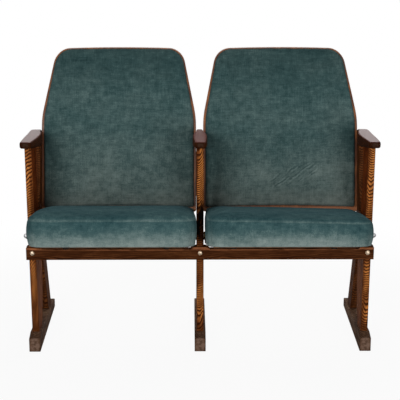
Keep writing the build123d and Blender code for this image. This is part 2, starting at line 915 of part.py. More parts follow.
# The underside of the seat board and the top of the front rail, in the side view.
board_under = falling(
    pivot_y - pivot_rise * sin(radians(seat_tilt)),
    pivot_z - pivot_rise * cos(radians(seat_tilt)),
    seat_tilt,
)
rail_top_line = falling(
    y_at(post_front, rail_bottom_z) - rail_height * sin(radians(post_lean)),
    rail_bottom_z + rail_height * cos(radians(post_lean)),
    -post_lean,
)
landing_line = shifted(rail_top_line, -(buffer_thickness + stop_clearance))
rail_back = shifted(post_front, rail_thickness - rail_proud)
rail_middle = shifted(post_front, rail_thickness / 2 - rail_proud)
batten_half = plate_inner_half - side_batten_width

# Tipped up, the underside of the seat stands parallel to the back of the front rail.
tip_angle = 90 - seat_tilt - post_lean
pivot_to_rail_back = (pivot_y - y_at(rail_back, pivot_z)) * cos(radians(post_lean))
stop_batten_depth = pivot_to_rail_back - pivot_rise - buffer_thickness - stop_clearance


def make_landing_batten(prefix, x, screws):
    """The cross strip that lands on the front rail, bevelled to lie flat on it."""
    front = shifted(rail_middle, -landing_batten_width / 2)
    rear = shifted(rail_middle, landing_batten_width / 2)
    with BuildPart() as batten:
        with BuildSketch(Plane.YZ.offset(x)):
            with BuildLine():
                Polyline(
                    meet(front, landing_line),
                    meet(rear, landing_line),
                    meet(rear, board_under),
                    meet(front, board_under),
                    close=True,
                )
            make_face()
        extrude(amount=batten_half, both=True)
        for group in screws:
            add(group, mode=Mode.SUBTRACT)
    save(batten.part, f"{prefix}_landing_batten")


def make_stop_batten(prefix, x, screws):
    """The cross strip that comes round against the back of the front rail."""
    with BuildPart() as batten:
        with Locations(seat_base(x)), Locations((0, stop_batten_front + stop_batten_width / 2, 0)):
            Box(
                2 * batten_half,
                stop_batten_width,
                stop_batten_depth,
                align=(Align.CENTER, Align.CENTER, Align.MAX),
            )
        for group in screws:
            add(group, mode=Mode.SUBTRACT)
    save(batten.part, f"{prefix}_stop_batten")


def make_buffers(prefix, x):
    """Four rubber discs: two land on the rail, two stop the seat when it is up."""
    landing = meet(rail_middle, landing_line)
    landing_plane = Plane(
        origin=(x, *landing),
        x_dir=(1, 0, 0),
        z_dir=(0, sin(radians(post_lean)), -cos(radians(post_lean))),
    )
    stop_plane = Plane(
        seat_base(x).location
        * Location((0, stop_batten_front + stop_batten_width / 2, -stop_batten_depth), (180, 0, 0))
    )
    across = batten_half - buffer_inset
    with BuildPart() as buffers:
        for plane in (landing_plane, stop_plane):
            with BuildSketch(plane):
                with GridLocations(2 * across, 0, 2, 1):
                    Circle(buffer_radius)
            extrude(amount=buffer_thickness)
    save(buffers.part, f"{prefix}_rubber_buffers")


def plate_screw_places(x):
    """Two screws each side of the pivot, in both hinge plates."""
    base = seat_base(x)
    outer_face = plate_inner_half + plate_thickness
    for side in (-1, 1):
        for along in (-plate_screw_far, -plate_screw_near, plate_screw_near, plate_screw_far):
            head = (side * outer_face, along, -side_batten_depth / 2)
            yield base.from_local_coords(head), base.x_dir * side


def side_batten_screw_places(x):
    """Screws up through the side battens into the board."""
    base = seat_base(x)
    across = plate_inner_half - side_batten_width / 2
    for side in (-1, 1):
        for along in (batten_screw_end - side_batten_front, 0, side_batten_rear - batten_screw_end):
            yield base.from_local_coords((side * across, along, -side_batten_depth)), base.z_dir * -1


def stop_screw_places(x):
    """Screws up through the stop batten into the board."""
    base = seat_base(x)
    along = stop_batten_front + stop_batten_width / 2
    for across in (cross_screw_end - batten_half, 0, batten_half - cross_screw_end):
        yield base.from_local_coords((across, along, -stop_batten_depth)), base.z_dir * -1


def landing_screw_places(x):
    """Screws up through the landing batten into the board."""
    y, z = meet(rail_middle, landing_line)
    for across in (cross_screw_end - batten_half, 0, batten_half - cross_screw_end):
        yield (x + across, y, z), (0, sin(radians(post_lean)), -cos(radians(post_lean)))


def make_hinge_plate(prefix, x, side, place, plate_screws):
    """The steel plate at the side of a seat; its ear holds the bush above the batten."""
    with BuildPart() as plate:
        with BuildSketch(seat_side(x, side * plate_inner_half)):
            with Locations((0, -side_batten_depth / 2)):
                Rectangle(plate_length, side_batten_depth)
            fillet(vertices(), plate_corner)
            with BuildSketch(mode=Mode.PRIVATE) as ear:
                with Locations((0, pivot_rise)):
                    Circle(plate_ear_radius)
                with Locations((0, -side_batten_depth / 2)):
                    Rectangle(plate_ear_foot, 1)
            add(make_hull(ear.sketch.edges(), mode=Mode.PRIVATE))
            with Locations((0, pivot_rise)):
                Circle(bush_radius, mode=Mode.SUBTRACT)
        extrude(amount=side * plate_thickness)
        add(plate_screws, mode=Mode.SUBTRACT)
    save(plate.part, f"{prefix}_{place}_hinge_plate")


def make_bushes(prefix, x):
    """Flanged bushes in both ears; the flange keeps the plate off the post."""
    with BuildPart() as bushes:
        for side in (-1, 1):
            for radius, near, length in (
                (bush_radius, plate_inner_half, plate_thickness),
                (bush_flange_radius, plate_inner_half + plate_thickness, bush_flange),
            ):
                with BuildSketch(seat_side(x, side * near)):
                    with Locations((0, pivot_rise)):
                        Circle(radius)
                        Circle(pivot_radius + pivot_clearance, mode=Mode.SUBTRACT)
                extrude(amount=side * length)
    save(bushes.part, f"{prefix}_hinge_bushes")


def make_seat(prefix, x):
    """Everything that tips up with one seat."""
    into_board = seat_board_thickness - batten_screw_margin
    landing_y, landing_z = meet(rail_middle, landing_line)
    landing_batten_depth = z_at(board_under, landing_y) - landing_z
    plate_screws = wood_screws(plate_screw_places(x), plate_screw_length)
    with BuildPart() as batten_screws:
        add(wood_screws(side_batten_screw_places(x), side_batten_depth + into_board))
        add(wood_screws(stop_screw_places(x), stop_batten_depth + into_board))
        add(wood_screws(landing_screw_places(x), landing_batten_depth + into_board))
    save(plate_screws, f"{prefix}_hinge_screws")
    save(batten_screws.part, f"{prefix}_batten_screws")
    screws = (plate_screws, batten_screws.part)
    make_seat_board(prefix, x, screws)
    make_cushion(prefix, x)
    make_landing_batten(prefix, x, screws)
    make_stop_batten(prefix, x, screws)
    make_buffers(prefix, x)
    make_bushes(prefix, x)
    for side in (-1, 1):
        place = "outer" if side * x > 0 else "inner"
        make_side_batten(prefix, x, side, place, screws)
        make_hinge_plate(prefix, x, side, place, plate_screws)


# ---------------------------------------------------------------- the bench

os.makedirs("parts", exist_ok=True)

for place, x in standard_x.items():
    make_runner(f"{place}_runner", x)
    make_front_post(f"{place}_front_post", x)
    make_rear_leg(f"{place}_rear_leg", x)
    make_upright(f"{place}_rear_upright", x)
    make_armrest(f"{place}_armrest", x)

save(frame_dowels.part, "frame_dowels")
save(rail_screws.part, "rail_screws")
save(rail_cup_washers.part, "rail_cup_washers")
save(rear_rail_screws, "rear_rail_screws")
save(front_rail.part, "front_rail")
save(rear_rail.part, "rear_rail")
save(cleat_screws, "cleat_screws")
save(panel_screws, "back_panel_screws")
make_pivots()

for place, x in seat_x.items():
    make_back_panel(f"{place}_back_panel", x)
    make_back_pad(f"{place}_back_pad", x)
    for side in (-1, 1):
        edge = "outer" if side * x > 0 else "inner"
        make_back_cleat(f"{place}_{edge}_back_cleat", x, side)
    make_seat(place, x)

print("seat tips up by", round(tip_angle, 2), "degrees")
print("stop batten depth", round(stop_batten_depth, 2))
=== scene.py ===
# %% [markdown]
# # A two-seat auditorium bench
# Three dark oak standards carry two velvet seats that tip up and two bent plywood backs. The solid
# model comes first, as a frame that never moves: everything below dresses it. Boards, plates and
# screws keep their solids and get a finish, while the pads and cushions are made again as sewn
# covers. All lengths are in metres, X runs along the bench, the sitter faces -Y and Z is up.

# %% Load the bench
from math import cos, pi, radians, sin, tan

import bmesh
import bpy
import numpy as np
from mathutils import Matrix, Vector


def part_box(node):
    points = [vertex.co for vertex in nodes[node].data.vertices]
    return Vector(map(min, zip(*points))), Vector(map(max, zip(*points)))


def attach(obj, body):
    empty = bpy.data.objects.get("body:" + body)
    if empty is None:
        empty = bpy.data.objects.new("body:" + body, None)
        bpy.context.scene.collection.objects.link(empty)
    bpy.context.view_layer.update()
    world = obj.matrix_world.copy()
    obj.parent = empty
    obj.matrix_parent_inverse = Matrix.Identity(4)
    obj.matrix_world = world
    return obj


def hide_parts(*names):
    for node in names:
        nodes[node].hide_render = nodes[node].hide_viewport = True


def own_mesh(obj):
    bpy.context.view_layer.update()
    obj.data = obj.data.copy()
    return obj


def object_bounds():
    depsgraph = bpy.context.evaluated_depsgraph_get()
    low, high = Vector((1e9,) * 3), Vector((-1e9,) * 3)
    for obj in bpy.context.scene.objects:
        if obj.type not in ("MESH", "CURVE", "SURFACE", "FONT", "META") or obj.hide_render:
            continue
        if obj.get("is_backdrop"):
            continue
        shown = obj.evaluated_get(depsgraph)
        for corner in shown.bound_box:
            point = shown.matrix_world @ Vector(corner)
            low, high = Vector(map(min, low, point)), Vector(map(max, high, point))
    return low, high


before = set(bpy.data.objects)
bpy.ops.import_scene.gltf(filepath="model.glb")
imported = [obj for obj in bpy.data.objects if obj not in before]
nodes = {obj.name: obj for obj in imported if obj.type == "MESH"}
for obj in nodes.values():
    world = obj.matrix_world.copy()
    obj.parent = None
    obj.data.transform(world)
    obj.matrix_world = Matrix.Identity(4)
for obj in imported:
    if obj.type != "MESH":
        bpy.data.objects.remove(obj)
scene = bpy.context.scene
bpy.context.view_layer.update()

# %% [markdown]
# ## Camera
# A long lens nearly four metres away looks down by 15 degrees, and hardly from the left. A long
# lens keeps the standards nearly parallel, and the slight shift does what the rising front of a
# view camera does: it moves the picture without turning the camera.

# %% Camera
LENS = 110.8  # millimetres, on a picture 36 mm wide
RISE = 0.01125  # as a share of the picture's width
EYE = (-0.026, -3.753, 1.456)
LOOK_DOWN = 15
LOOK_ASIDE = -0.4

camera = bpy.data.objects.new("camera", bpy.data.cameras.new("camera"))
camera.data.sensor_width = 36
camera.data.lens = LENS
camera.data.shift_y = RISE
camera.location = EYE
camera.rotation_euler = (radians(90 - LOOK_DOWN), 0, radians(LOOK_ASIDE))
scene.collection.objects.link(camera)
scene.camera = camera
print("camera at", EYE, "with a lens of", LENS, "mm")

# %% [markdown]
# ## Shader arithmetic
# A material is a graph of nodes. It could be wired by hand in the editor or by long calls, and both
# are slow to read. Here a `Wire` stands for one output, and Python's own arithmetic on it adds Math
# nodes, so a pattern is written like a formula. `Finish` holds one material, and its `add` is the
# only method that makes a node.


# %% Wires and finishes
class Wire:
    """One value in a material. Arithmetic on it adds Math nodes."""

    def __init__(self, finish, socket):
        self.finish = finish
        self.socket = socket

    def math(self, operation, *values):
        """One Math node on the values, in their order."""
        return self.finish.add("ShaderNodeMath", {"operation": operation}, dict(enumerate(values)))

    def __add__(self, other):
        return self.math("ADD", self, other)

    def __sub__(self, other):
        return self.math("SUBTRACT", self, other)

    def __rsub__(self, other):
        return self.math("SUBTRACT", other, self)

    def __mul__(self, other):
        return self.math("MULTIPLY", self, other)

    def __truediv__(self, other):
        return self.math("DIVIDE", self, other)

    def __pow__(self, other):
        return self.math("POWER", self, other)

    def __abs__(self):
        return self.math("ABSOLUTE", self)

    __radd__ = __add__
    __rmul__ = __mul__

    def floor(self):
        return self.math("FLOOR", self)

    def fract(self):
        return self.math("FRACT", self)

    def sine(self):
        return self.math("SINE", self)

    def least(self, other):
        return self.math("MINIMUM", self, other)

    def most(self, other):
        return self.math("MAXIMUM", self, other)

    def steps(self, low, high):
        """0 below low, 1 above high and a smooth rise between."""
        node = {"interpolation_type": "SMOOTHSTEP"}
        return self.finish.add("ShaderNodeMapRange", node, {0: self, 1: low, 2: high})


class Finish:
    """One material, made from wires."""

    def __init__(self, name, **shader):
        self.material = bpy.data.materials.new(name)
        self.material.use_nodes = True
        self.tree = self.material.node_tree
        self.shader = next(n for n in self.tree.nodes if n.type == "BSDF_PRINCIPLED")
        for socket, value in shader.items():
            self.put(socket.replace("_", " "), value)

    def add(self, kind, settings=None, inputs=None, output=0):
        """
        A node of this kind, with its settings made first and its inputs joined, as the wire of one
        of its outputs. A ramp's stops are a setting: pairs of a place and a colour.
        """
        node = self.tree.nodes.new(kind)
        for key, value in (settings or {}).items():
            if key == "stops":
                ramp = node.color_ramp
                while len(ramp.elements) < len(value):
                    ramp.elements.new(1)
                for element, (place, colour) in zip(ramp.elements, value):
                    element.position = place
                    element.color = (*colour, 1)
            else:
                setattr(node, key, value)
        for key, value in (inputs or {}).items():
            self.join(value, node.inputs[key])
        return Wire(self, node.outputs[output])

    def join(self, value, socket):
        """Links a wire to a socket, or sets the socket to a plain value."""
        if isinstance(value, Wire):
            self.tree.links.new(value.socket, socket)
        elif socket.type == "RGBA" and len(value) == 3:
            socket.default_value = (*value, 1)
        else:
            socket.default_value = value

    def put(self, socket, value):
        """Feeds one socket of the surface shader."""
        self.join(value, self.shader.inputs[socket])

    def mix(self, share, a, b, blend="MIX"):
        """Colour a where share is 0 and colour b where it is 1. 6 and 7 are the colour sockets."""
        settings = {"data_type": "RGBA", "blend_type": blend}
        return self.add("ShaderNodeMix", settings, {0: share, 6: a, 7: b}, output=2)

    def ramp(self, value, *stops):
        """The colour that the stops, pairs of a place and a colour, give at value."""
        return self.add("ShaderNodeValToRGB", {"stops": stops}, {0: value})

    def place(self, centre=(0, 0, 0), turn=(0, 0, 0)):
        """Position on the piece, in metres, in a frame at centre that is turned by turn degrees."""
        position = self.add("ShaderNodeTexCoord", output="Object")
        rotation = [radians(angle) for angle in turn]
        inputs = {"Vector": position, "Location": centre, "Rotation": rotation}
        return self.add("ShaderNodeMapping", {"vector_type": "TEXTURE"}, inputs)

    def stretch(self, place, x, y, z, shift=0.0):
        """The place with x, y and z blobs to the metre. A shift picks another part of a cloud."""
        inputs = {0: place, 1: (x, y, z), 2: (shift, shift, shift)}
        return self.add("ShaderNodeVectorMath", {"operation": "MULTIPLY_ADD"}, inputs)

    def noise(self, place, scale=1.0, detail=2.0, roughness=0.5, distortion=0.0):
        """A cloudy value round 0.5, with scale blobs to the metre."""
        values = {"Vector": place, "Scale": scale, "Detail": detail, "Roughness": roughness}
        return self.add("ShaderNodeTexNoise", None, {**values, "Distortion": distortion})

    def split(self, place):
        """The x, y and z of a place or a direction."""
        node = self.add("ShaderNodeSeparateXYZ", None, {0: place}).socket.node
        return [Wire(self, socket) for socket in node.outputs]

    def wander(self, along, scale, seed, detail=1.0):
        """A value round 0 that drifts with a single coordinate."""
        inputs = {"W": along * scale + seed, "Scale": 1.0, "Detail": detail}
        return self.add("ShaderNodeTexNoise", {"noise_dimensions": "1D"}, inputs) - 0.5

    def bump(self, height, depth, strength):
        """The normal of a relief of height 0 to 1, depth metres deep."""
        inputs = {"Height": height, "Distance": depth, "Strength": strength}
        return self.add("ShaderNodeBump", None, inputs)


def ellipse(values, middles, halves):
    """The squared distance from the middle, 1 on the ellipse that has these half axes."""
    axes = zip(values, middles, halves)
    return sum(((value - middle) / half) ** 2 for value, middle, half in axes)


# %% [markdown]
# ## Stage and light
# The bench stands on a pale floor in front of white, as in a shop's picture. A curved paper sweep
# would hide the horizon too, but it turns grey where the lamps don't reach. So the floor is flat:
# close to the bench it is nearly white to the camera and keeps a soft shadow, and further out the
# camera sees plain white. Most of the light comes from two large lamps beside the camera, which
# leaves the sides of the boards and the tops of the seats darker than their fronts.

# %% Floor
FLOOR_HALF = 8.0
SHADOW_REACH = (0.75, 1.6)  # the shadow fades out between these distances
NEAR_WHITE = 0.93  # how much of the floor near the bench is plain white to the camera

corners = [(x * FLOOR_HALF, y * FLOOR_HALF, 0) for x, y in ((-1, -1), (1, -1), (1, 1), (-1, 1))]
floor_mesh = bpy.data.meshes.new("floor")
floor_mesh.from_pydata(corners, [], [(0, 1, 2, 3)])
floor = bpy.data.objects.new("floor", floor_mesh)
scene.collection.objects.link(floor)
floor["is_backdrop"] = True

paper = Finish("floor_paper", Base_Color=(0.6, 0.6, 0.6), Roughness=0.9, Specular_IOR_Level=0.1)
length = {"operation": "LENGTH"}
away = paper.add("ShaderNodeVectorMath", length, {0: paper.place()}, output="Value")
seen = paper.add("ShaderNodeLightPath", output="Is Camera Ray")
white = paper.add("ShaderNodeEmission", None, {"Color": (1, 1, 1), "Strength": 1.0})
share = (away.steps(*SHADOW_REACH) * (1 - NEAR_WHITE) + NEAR_WHITE) * seen
blend = paper.add("ShaderNodeMixShader", None, {0: share, 2: white})
paper.tree.links.new(paper.shader.outputs[0], blend.socket.node.inputs[1])
paper.tree.links.new(blend.socket, paper.tree.nodes["Material Output"].inputs["Surface"])
floor_mesh.materials.append(paper.material)
print("floor", 2 * FLOOR_HALF, "m wide")

# %% World and lamps
ROOM_LIGHT = 0.2  # what the white room adds to the lamps; the camera and shine see it at full

world = bpy.data.worlds.new("studio")
world.use_nodes = True
scene.world = world
sky = world.node_tree.nodes["Background"]
path = world.node_tree.nodes.new("ShaderNodeLightPath")
direct = world.node_tree.nodes.new("ShaderNodeMath")
direct.operation = "MAXIMUM"
backdrop = world.node_tree.nodes.new("ShaderNodeMapRange")
backdrop.inputs["To Min"].default_value = ROOM_LIGHT
world.node_tree.links.new(path.outputs["Is Camera Ray"], direct.inputs[0])
world.node_tree.links.new(path.outputs["Is Glossy Ray"], direct.inputs[1])
world.node_tree.links.new(direct.outputs[0], backdrop.inputs["Value"])
world.node_tree.links.new(backdrop.outputs[0], sky.inputs["Strength"])
sky.inputs["Color"].default_value = (1, 1, 1, 1)


def softbox(name, place, aim, width, height, watts):
    """A large flat lamp at place that faces aim."""
    lamp = bpy.data.objects.new(name, bpy.data.lights.new(name, "AREA"))
    lamp.data.shape = "RECTANGLE"
    lamp.data.size = width
    lamp.data.size_y = height
    lamp.data.energy = watts
    lamp.location = place
    direction = Vector(aim) - Vector(place)
    lamp.rotation_euler = direction.to_track_quat("-Z", "Y").to_euler()
    scene.collection.objects.link(lamp)
    print(name, "lamp of", watts, "watts")


softbox("key", place=(-1.5, -3.6, 1.7), aim=(0, 0, 0.5), width=1.4, height=1.4, watts=70)
softbox("fill", place=(1.6, -3.6, 0.7), aim=(0, 0, 0.5), width=1.4, height=1.4, watts=50)
softbox("top", place=(0, -0.4, 3.2), aim=(0, 0, 0.4), width=2.6, height=1.8, watts=16)
softbox("rear", place=(0.3, 2.6, 2.9), aim=(0, 0, 0.5), width=2.2, height=1.6, watts=60)
scene.view_settings.view_transform = "Standard"

# %% [markdown]
# ## Dark oak
# The boards are plain-sawn: the growth rings are nearly cylinders round a pith line that runs just
# behind the face of the board and wanders a little. Where a face cuts those cylinders it shows
# pointed arches, and where it runs along them it shows stripes. A Wave texture could draw stripes,
# but counting the rings round a line gives stripes and arches in one formula, on every face of a
# board. The dark stain sits in the open pores, and the hard late wood between them stays orange.


# %% Oak
STAIN = ((0.020, 0.0045, 0.001), (0.090, 0.025, 0.006), (0.21, 0.066, 0.017), (0.50, 0.18, 0.042))
FINE_RING = 0.00075
NESTED = (0.0, -0.085)  # a pith line that slants behind the board, which makes the arches
STRAIGHT = (0.0, 0.0)  # a board sawn along the pith line
PITH_WANDER = (0.018, 0.01)  # how far the pith line strays, across and behind the board
SEAT_LEVEL = (0.24, 0.31)  # up a post, the stretch where the seats pass it
# wear and painted sheen: the colour mixed into the faces that look up, on a board with a coat
TOP_WEAR_AND_SHEEN = (0.15, 0.055, 0.05)
SIDE_SHADE = (0.62, 0.55, 0.4)  # painted shade: multiplies what doesn't look up, on a board with a coat


def late_wood(wood, position, cloud, pith, slant, ring, seed):
    """
    The hard part of each ring, from 0 to 1. The ring count is the distance from the pith line over
    the ring's width, and a little of the cloud keeps the rings from being perfect.
    """
    x, y, z = position
    off_x = x - pith[0] - z * slant[0] - wood.wander(z, 4.0, seed) * PITH_WANDER[0]
    off_y = y - pith[1] - z * slant[1] - wood.wander(z, 5.0, seed + 11.3) * PITH_WANDER[1]
    off = wood.add("ShaderNodeCombineXYZ", None, {0: off_x, 1: off_y})
    radius = wood.add("ShaderNodeVectorMath", {"operation": "LENGTH"}, {0: off}, output="Value")
    band = (radius / ring + (cloud - 0.5) * 1.2 + seed).fract()
    return band.steps(0.05, 0.5) * (1 - band.steps(0.8, 1.0))


def oak(
    name, centre, turn, pith=(0.0, 0.14), ring=FINE_RING, seed=0.0, glow=(), spots=(), tones=STAIN,
    gloss=0.55, slant=NESTED, sides=None, coat=0.0,
):
    """
    Oak whose grain runs along Z of a frame at centre, turned by turn.

    pith is the pith line's x and y where z is 0, and slant is how far it moves for each metre of z.
    Each glow is a middle and half axes in x and z, where hands and light have bleached the stain.
    Each spot is a middle, half axes and a colour: a place where the finish has gone, grime together
    with painted shade, or a painted highlight. sides are two colours that multiply the board's side
    faces: below the seats a paler, dusty one, and above them a darker, redder one that is painted
    shade. coat is how thick the lacquer is on the faces that look up. Where it is given, those
    faces also take a colour of wear and painted sheen, and the other faces a painted shade.
    """
    wood = Finish(name, Specular_IOR_Level=0.02)
    place = wood.place(centre, turn)
    x, y, z = wood.split(place)
    cloud = wood.noise(wood.stretch(place, 90, 90, 22), detail=3)
    late = late_wood(wood, (x, y, z), cloud, pith, slant, ring, seed)
    figure = wood.noise(wood.stretch(place, 70, 70, 16), detail=2).steps(0.38, 0.62)
    fibre = wood.noise(wood.stretch(place, 420, 420, 12), detail=3)
    speck = wood.noise(wood.stretch(place, 1100, 1100, 40), detail=2, roughness=0.6)
    pores = speck.steps(0.54, 0.64)
    patch = wood.noise(wood.stretch(place, 14, 14, 5), detail=2)

    value = late * (0.36 + figure * 0.32) + (fibre - 0.5) * 0.4 + (patch - 0.5) * 0.6 + 0.04
    for at, reach in glow:
        warm = 1 - ellipse((x, z), at, reach).steps(0.0, 1.0)
        value = value + warm * (late * 0.42 - 0.01)
    stops = zip((0.0, 0.33, 0.66, 1.0), tones)
    colour = wood.mix(pores * 0.6, wood.ramp(value, *stops), tones[0])
    # a spot is worn finish, grime with painted shade, or a painted highlight
    for at, reach, tone in spots:
        worn = 1 - ellipse((x, y, z), at, reach).steps(0.3, 1.0)
        colour = wood.mix(worn * (0.25 + cloud.steps(0.4, 0.56) * 0.75), colour, tone)

    facing = wood.split(wood.add("ShaderNodeTexCoord", output="Normal"))
    # painted shade on the upper side faces, and dust on the lower ones
    if sides:
        level = wood.mix(z.steps(*SEAT_LEVEL), *sides)
        tinted = wood.mix(1.0, colour, level, blend="MULTIPLY")
        colour = wood.mix((facing[0] ** 2).steps(0.5, 0.9), colour, tinted)
    if coat:
        top = facing[2].steps(0.6, 0.95)
        # painted shade on what doesn't look up, and wear with a painted sheen on what does
        colour = wood.mix(1 - top, colour, SIDE_SHADE, blend="MULTIPLY")
        colour = wood.mix(top * 0.6, colour, TOP_WEAR_AND_SHEEN)
        wood.put("Coat Roughness", 0.3)
        wood.put("Coat Weight", top * coat)
    wood.put("Base Color", colour)
    wood.put("Roughness", pores * 0.2 + (fibre - 0.5) * 0.12 + gloss)
    wood.put("Normal", wood.bump(late * 0.3 - pores + 1.0, 0.00025, 0.5))
    return wood.material


def dress(name, material):
    """Gives a carried-over node its material."""
    nodes[name].material_slots[0].material = material


# %% [markdown]
# ## Boards of the standards
# Every board was sawn on its own, so no two show the same grain, and each has its own history:
# elbows polish the armrests, shoes scuff the toes of the runners, and knees bleach the front posts.
# Some of the colour is painted light: shade on the sides of the posts and armrests and between the
# cushions, a highlight on the rails' top edge and a sheen on the armrests' tops.
# One material with a board's number in it could serve them all. A material for each board is
# longer, but each one's frame can lean as its board does, which keeps the grain along the board.

# %% Tones, worn places, painted shade and highlights
SHADED = ((0.014, 0.0035, 0.001), (0.052, 0.016, 0.005), (0.13, 0.042, 0.012), (0.28, 0.10, 0.03))
DUSTY = ((0.022, 0.010, 0.005), (0.07, 0.035, 0.019), (0.14, 0.075, 0.044), (0.27, 0.17, 0.105))
LACQUER = (
    (0.018, 0.005, 0.002), (0.044, 0.013, 0.006), (0.075, 0.026, 0.012), (0.13, 0.046, 0.022),
)
RAIL = ((0.026, 0.007, 0.002), (0.062, 0.018, 0.005), (0.10, 0.032, 0.010), (0.17, 0.062, 0.022))
WORN_END = (0.058, 0.033, 0.027)
WORN_TOE = (0.17, 0.105, 0.075)
# painted highlight: a pale orange for the rails' top edge
RAIL_EDGE_HIGHLIGHT = (0.33, 0.12, 0.05)
# grime together with painted shade, for the middle post between the cushions
SHADE_AND_GRIME = (0.006, 0.0025, 0.0012)

POST_GLOW = {
    "left": (((-0.006, 0.46), (0.013, 0.3)), ((-0.001, 0.17), (0.009, 0.1))),
    "middle": (((0.002, 0.5), (0.013, 0.16)), ((0.0, 0.1), (0.014, 0.09))),
    "right": (
        ((0.003, 0.5), (0.014, 0.28)), ((0.0, 0.18), (0.012, 0.07)), ((0.003, 0.07), (0.01, 0.06)),
    ),
}
POST_GRAIN = {
    "left": {"pith": (0.014, 0.035), "ring": 0.0017, "slant": (0.0, 0.2)},
    "middle": {"pith": (-0.005, 0.13)},
    "right": {"pith": (0.001, 0.13)},
}
# side faces of the posts: paler and greyer with dust below the seats, and a darker, redder painted
# shade above them
POST_SIDE_DUST_AND_SHADE = ((1.2, 1.15, 1.2), (1.15, 0.75, 0.3))
# painted shade with grime: the middle post is darkened where it stands between the cushions
POST_SPOTS = {"middle": (((0.0, 0.0, 0.37), (0.03, 0.05, 0.075), SHADE_AND_GRIME),)}
RUNNER_SPOTS = (((0.0, 0.002, 0.113), (0.02, 0.03, 0.012), WORN_TOE),)
ARM_SPOTS = (((0.0, -0.032, 0.163), (0.012, 0.008, 0.006), WORN_END),)
ARM_COAT = {"left": 0.62, "middle": 0.07, "right": 0.62}  # two sitters rub the middle one dull
# painted highlight along the rails' top front edge, which the cushion shades
RAIL_SPOTS = (((-0.022, 0.0, 0.0), (0.006, 0.05, 0.8), RAIL_EDGE_HIGHLIGHT),)
print("tones and worn places of", len(POST_GRAIN), "standards")

# %% Boards
PITCH = 0.522
STANDARDS = {"left": -PITCH, "middle": 0.0, "right": PITCH}
POST_LEAN = 2.9
LEG_LEAN = 25.5
UPRIGHT_LEAN = -14.7
ARM_TURN = 80  # the grain rises to the front with the armrest's underside
ARM_RING = 0.0018
RAIL_RING = 0.0026

for number, (place, x) in enumerate(STANDARDS.items()):
    seed = 3.7 * number
    boards = {
        "front_post": oak(
            f"{place}_post_oak", (x, -0.073, 0.053), (POST_LEAN, 0, 0), seed=seed,
            glow=POST_GLOW[place], spots=POST_SPOTS.get(place, ()), sides=POST_SIDE_DUST_AND_SHADE,
            **POST_GRAIN[place],
        ),
        "rear_leg": oak(
            f"{place}_leg_oak", (x, 0.188, 0.04), (LEG_LEAN, 0, 0), seed=seed + 1.3, tones=SHADED
        ),
        "rear_upright": oak(
            f"{place}_upright_oak", (x, 0.05, 0.415), (UPRIGHT_LEAN, 0, 0), seed=seed + 2.1,
            tones=SHADED,
        ),
        "runner": oak(
            f"{place}_runner_oak", (x, 0, 0.02), (90, 0, 0), (0.004, -0.03), ARM_RING,
            seed=seed + 0.4, tones=DUSTY, spots=RUNNER_SPOTS, slant=STRAIGHT,
        ),
        "armrest": oak(
            f"{place}_arm_oak", (x, 0, 0.68), (ARM_TURN, 0, 0), (0.003, 0.05), ARM_RING,
            seed=seed + 5.0, tones=LACQUER, gloss=0.5, spots=ARM_SPOTS, slant=STRAIGHT,
            coat=ARM_COAT[place],
        ),
    }
    for board, material in boards.items():
        dress(f"{place}_{board}", material)
    print(place, "standard:", ", ".join(boards))

for number, (name, y, z) in enumerate((("front_rail", -0.09, 0.31), ("rear_rail", 0.135, 0.308))):
    material = oak(
        f"{name}_oak", (0, y, z), (0, 90, 0), (0.02, 0.05), RAIL_RING, seed=8.0 + number,
        tones=RAIL, spots=RAIL_SPOTS, slant=STRAIGHT,
    )
    dress(name, material)
    print(name, "dressed")

# %% [markdown]
# ## Bent plywood
# The backs are thin veneers glued in a bent mould. The faces are stained like the boards, and the
# edges show the layers. Layers could be modelled as separate sheets, but a material that knows how
# far behind the front face it is can colour them by itself, and the solid stays one board. The
# front face is two flat stretches with an arc between them. `bend` works out the arc's ends once,
# for the material here and for the pads further down.

# %% Plywood of the backs
BACK_FOOT = (0.100, 0.400)
BACK_LEAN = 13.0
BACK_TOP_LEAN = 27.0
BACK_BEND_Z = 0.704
BACK_BEND_RADIUS = 0.600
VENEER = 0.0015
PLY_FACE = ((0.05, 0.013, 0.004), (0.13, 0.038, 0.010), (0.28, 0.095, 0.024))
PLY_EDGE = ((0.07, 0.022, 0.007), (0.40, 0.15, 0.04))  # every second layer is cut across the grain
PLY_PORE = (0.03, 0.011, 0.006)
# painted highlight for the strip of plywood between the pad and the cushion
PLY_FOOT_HIGHLIGHT = (0.55, 0.21, 0.09)
FOOT_HIGHLIGHT_SPAN = (0.409, 0.42)  # painted highlight: below the pad, the face is painted paler up to this height


def bend():
    """
    The (y, z) of the arc's two ends. An arc that turns by t leaves its tangents
    radius * tan(t / 2) off the corner where they would meet.
    """
    low, high = radians(BACK_LEAN), radians(BACK_TOP_LEAN)
    tangent = BACK_BEND_RADIUS * tan((high - low) / 2)
    corner = BACK_FOOT[0] + (BACK_BEND_Z - BACK_FOOT[1]) * tan(low)
    start = (corner - tangent * sin(low), BACK_BEND_Z - tangent * cos(low))
    return start, (corner + tangent * sin(high), BACK_BEND_Z + tangent * cos(high))


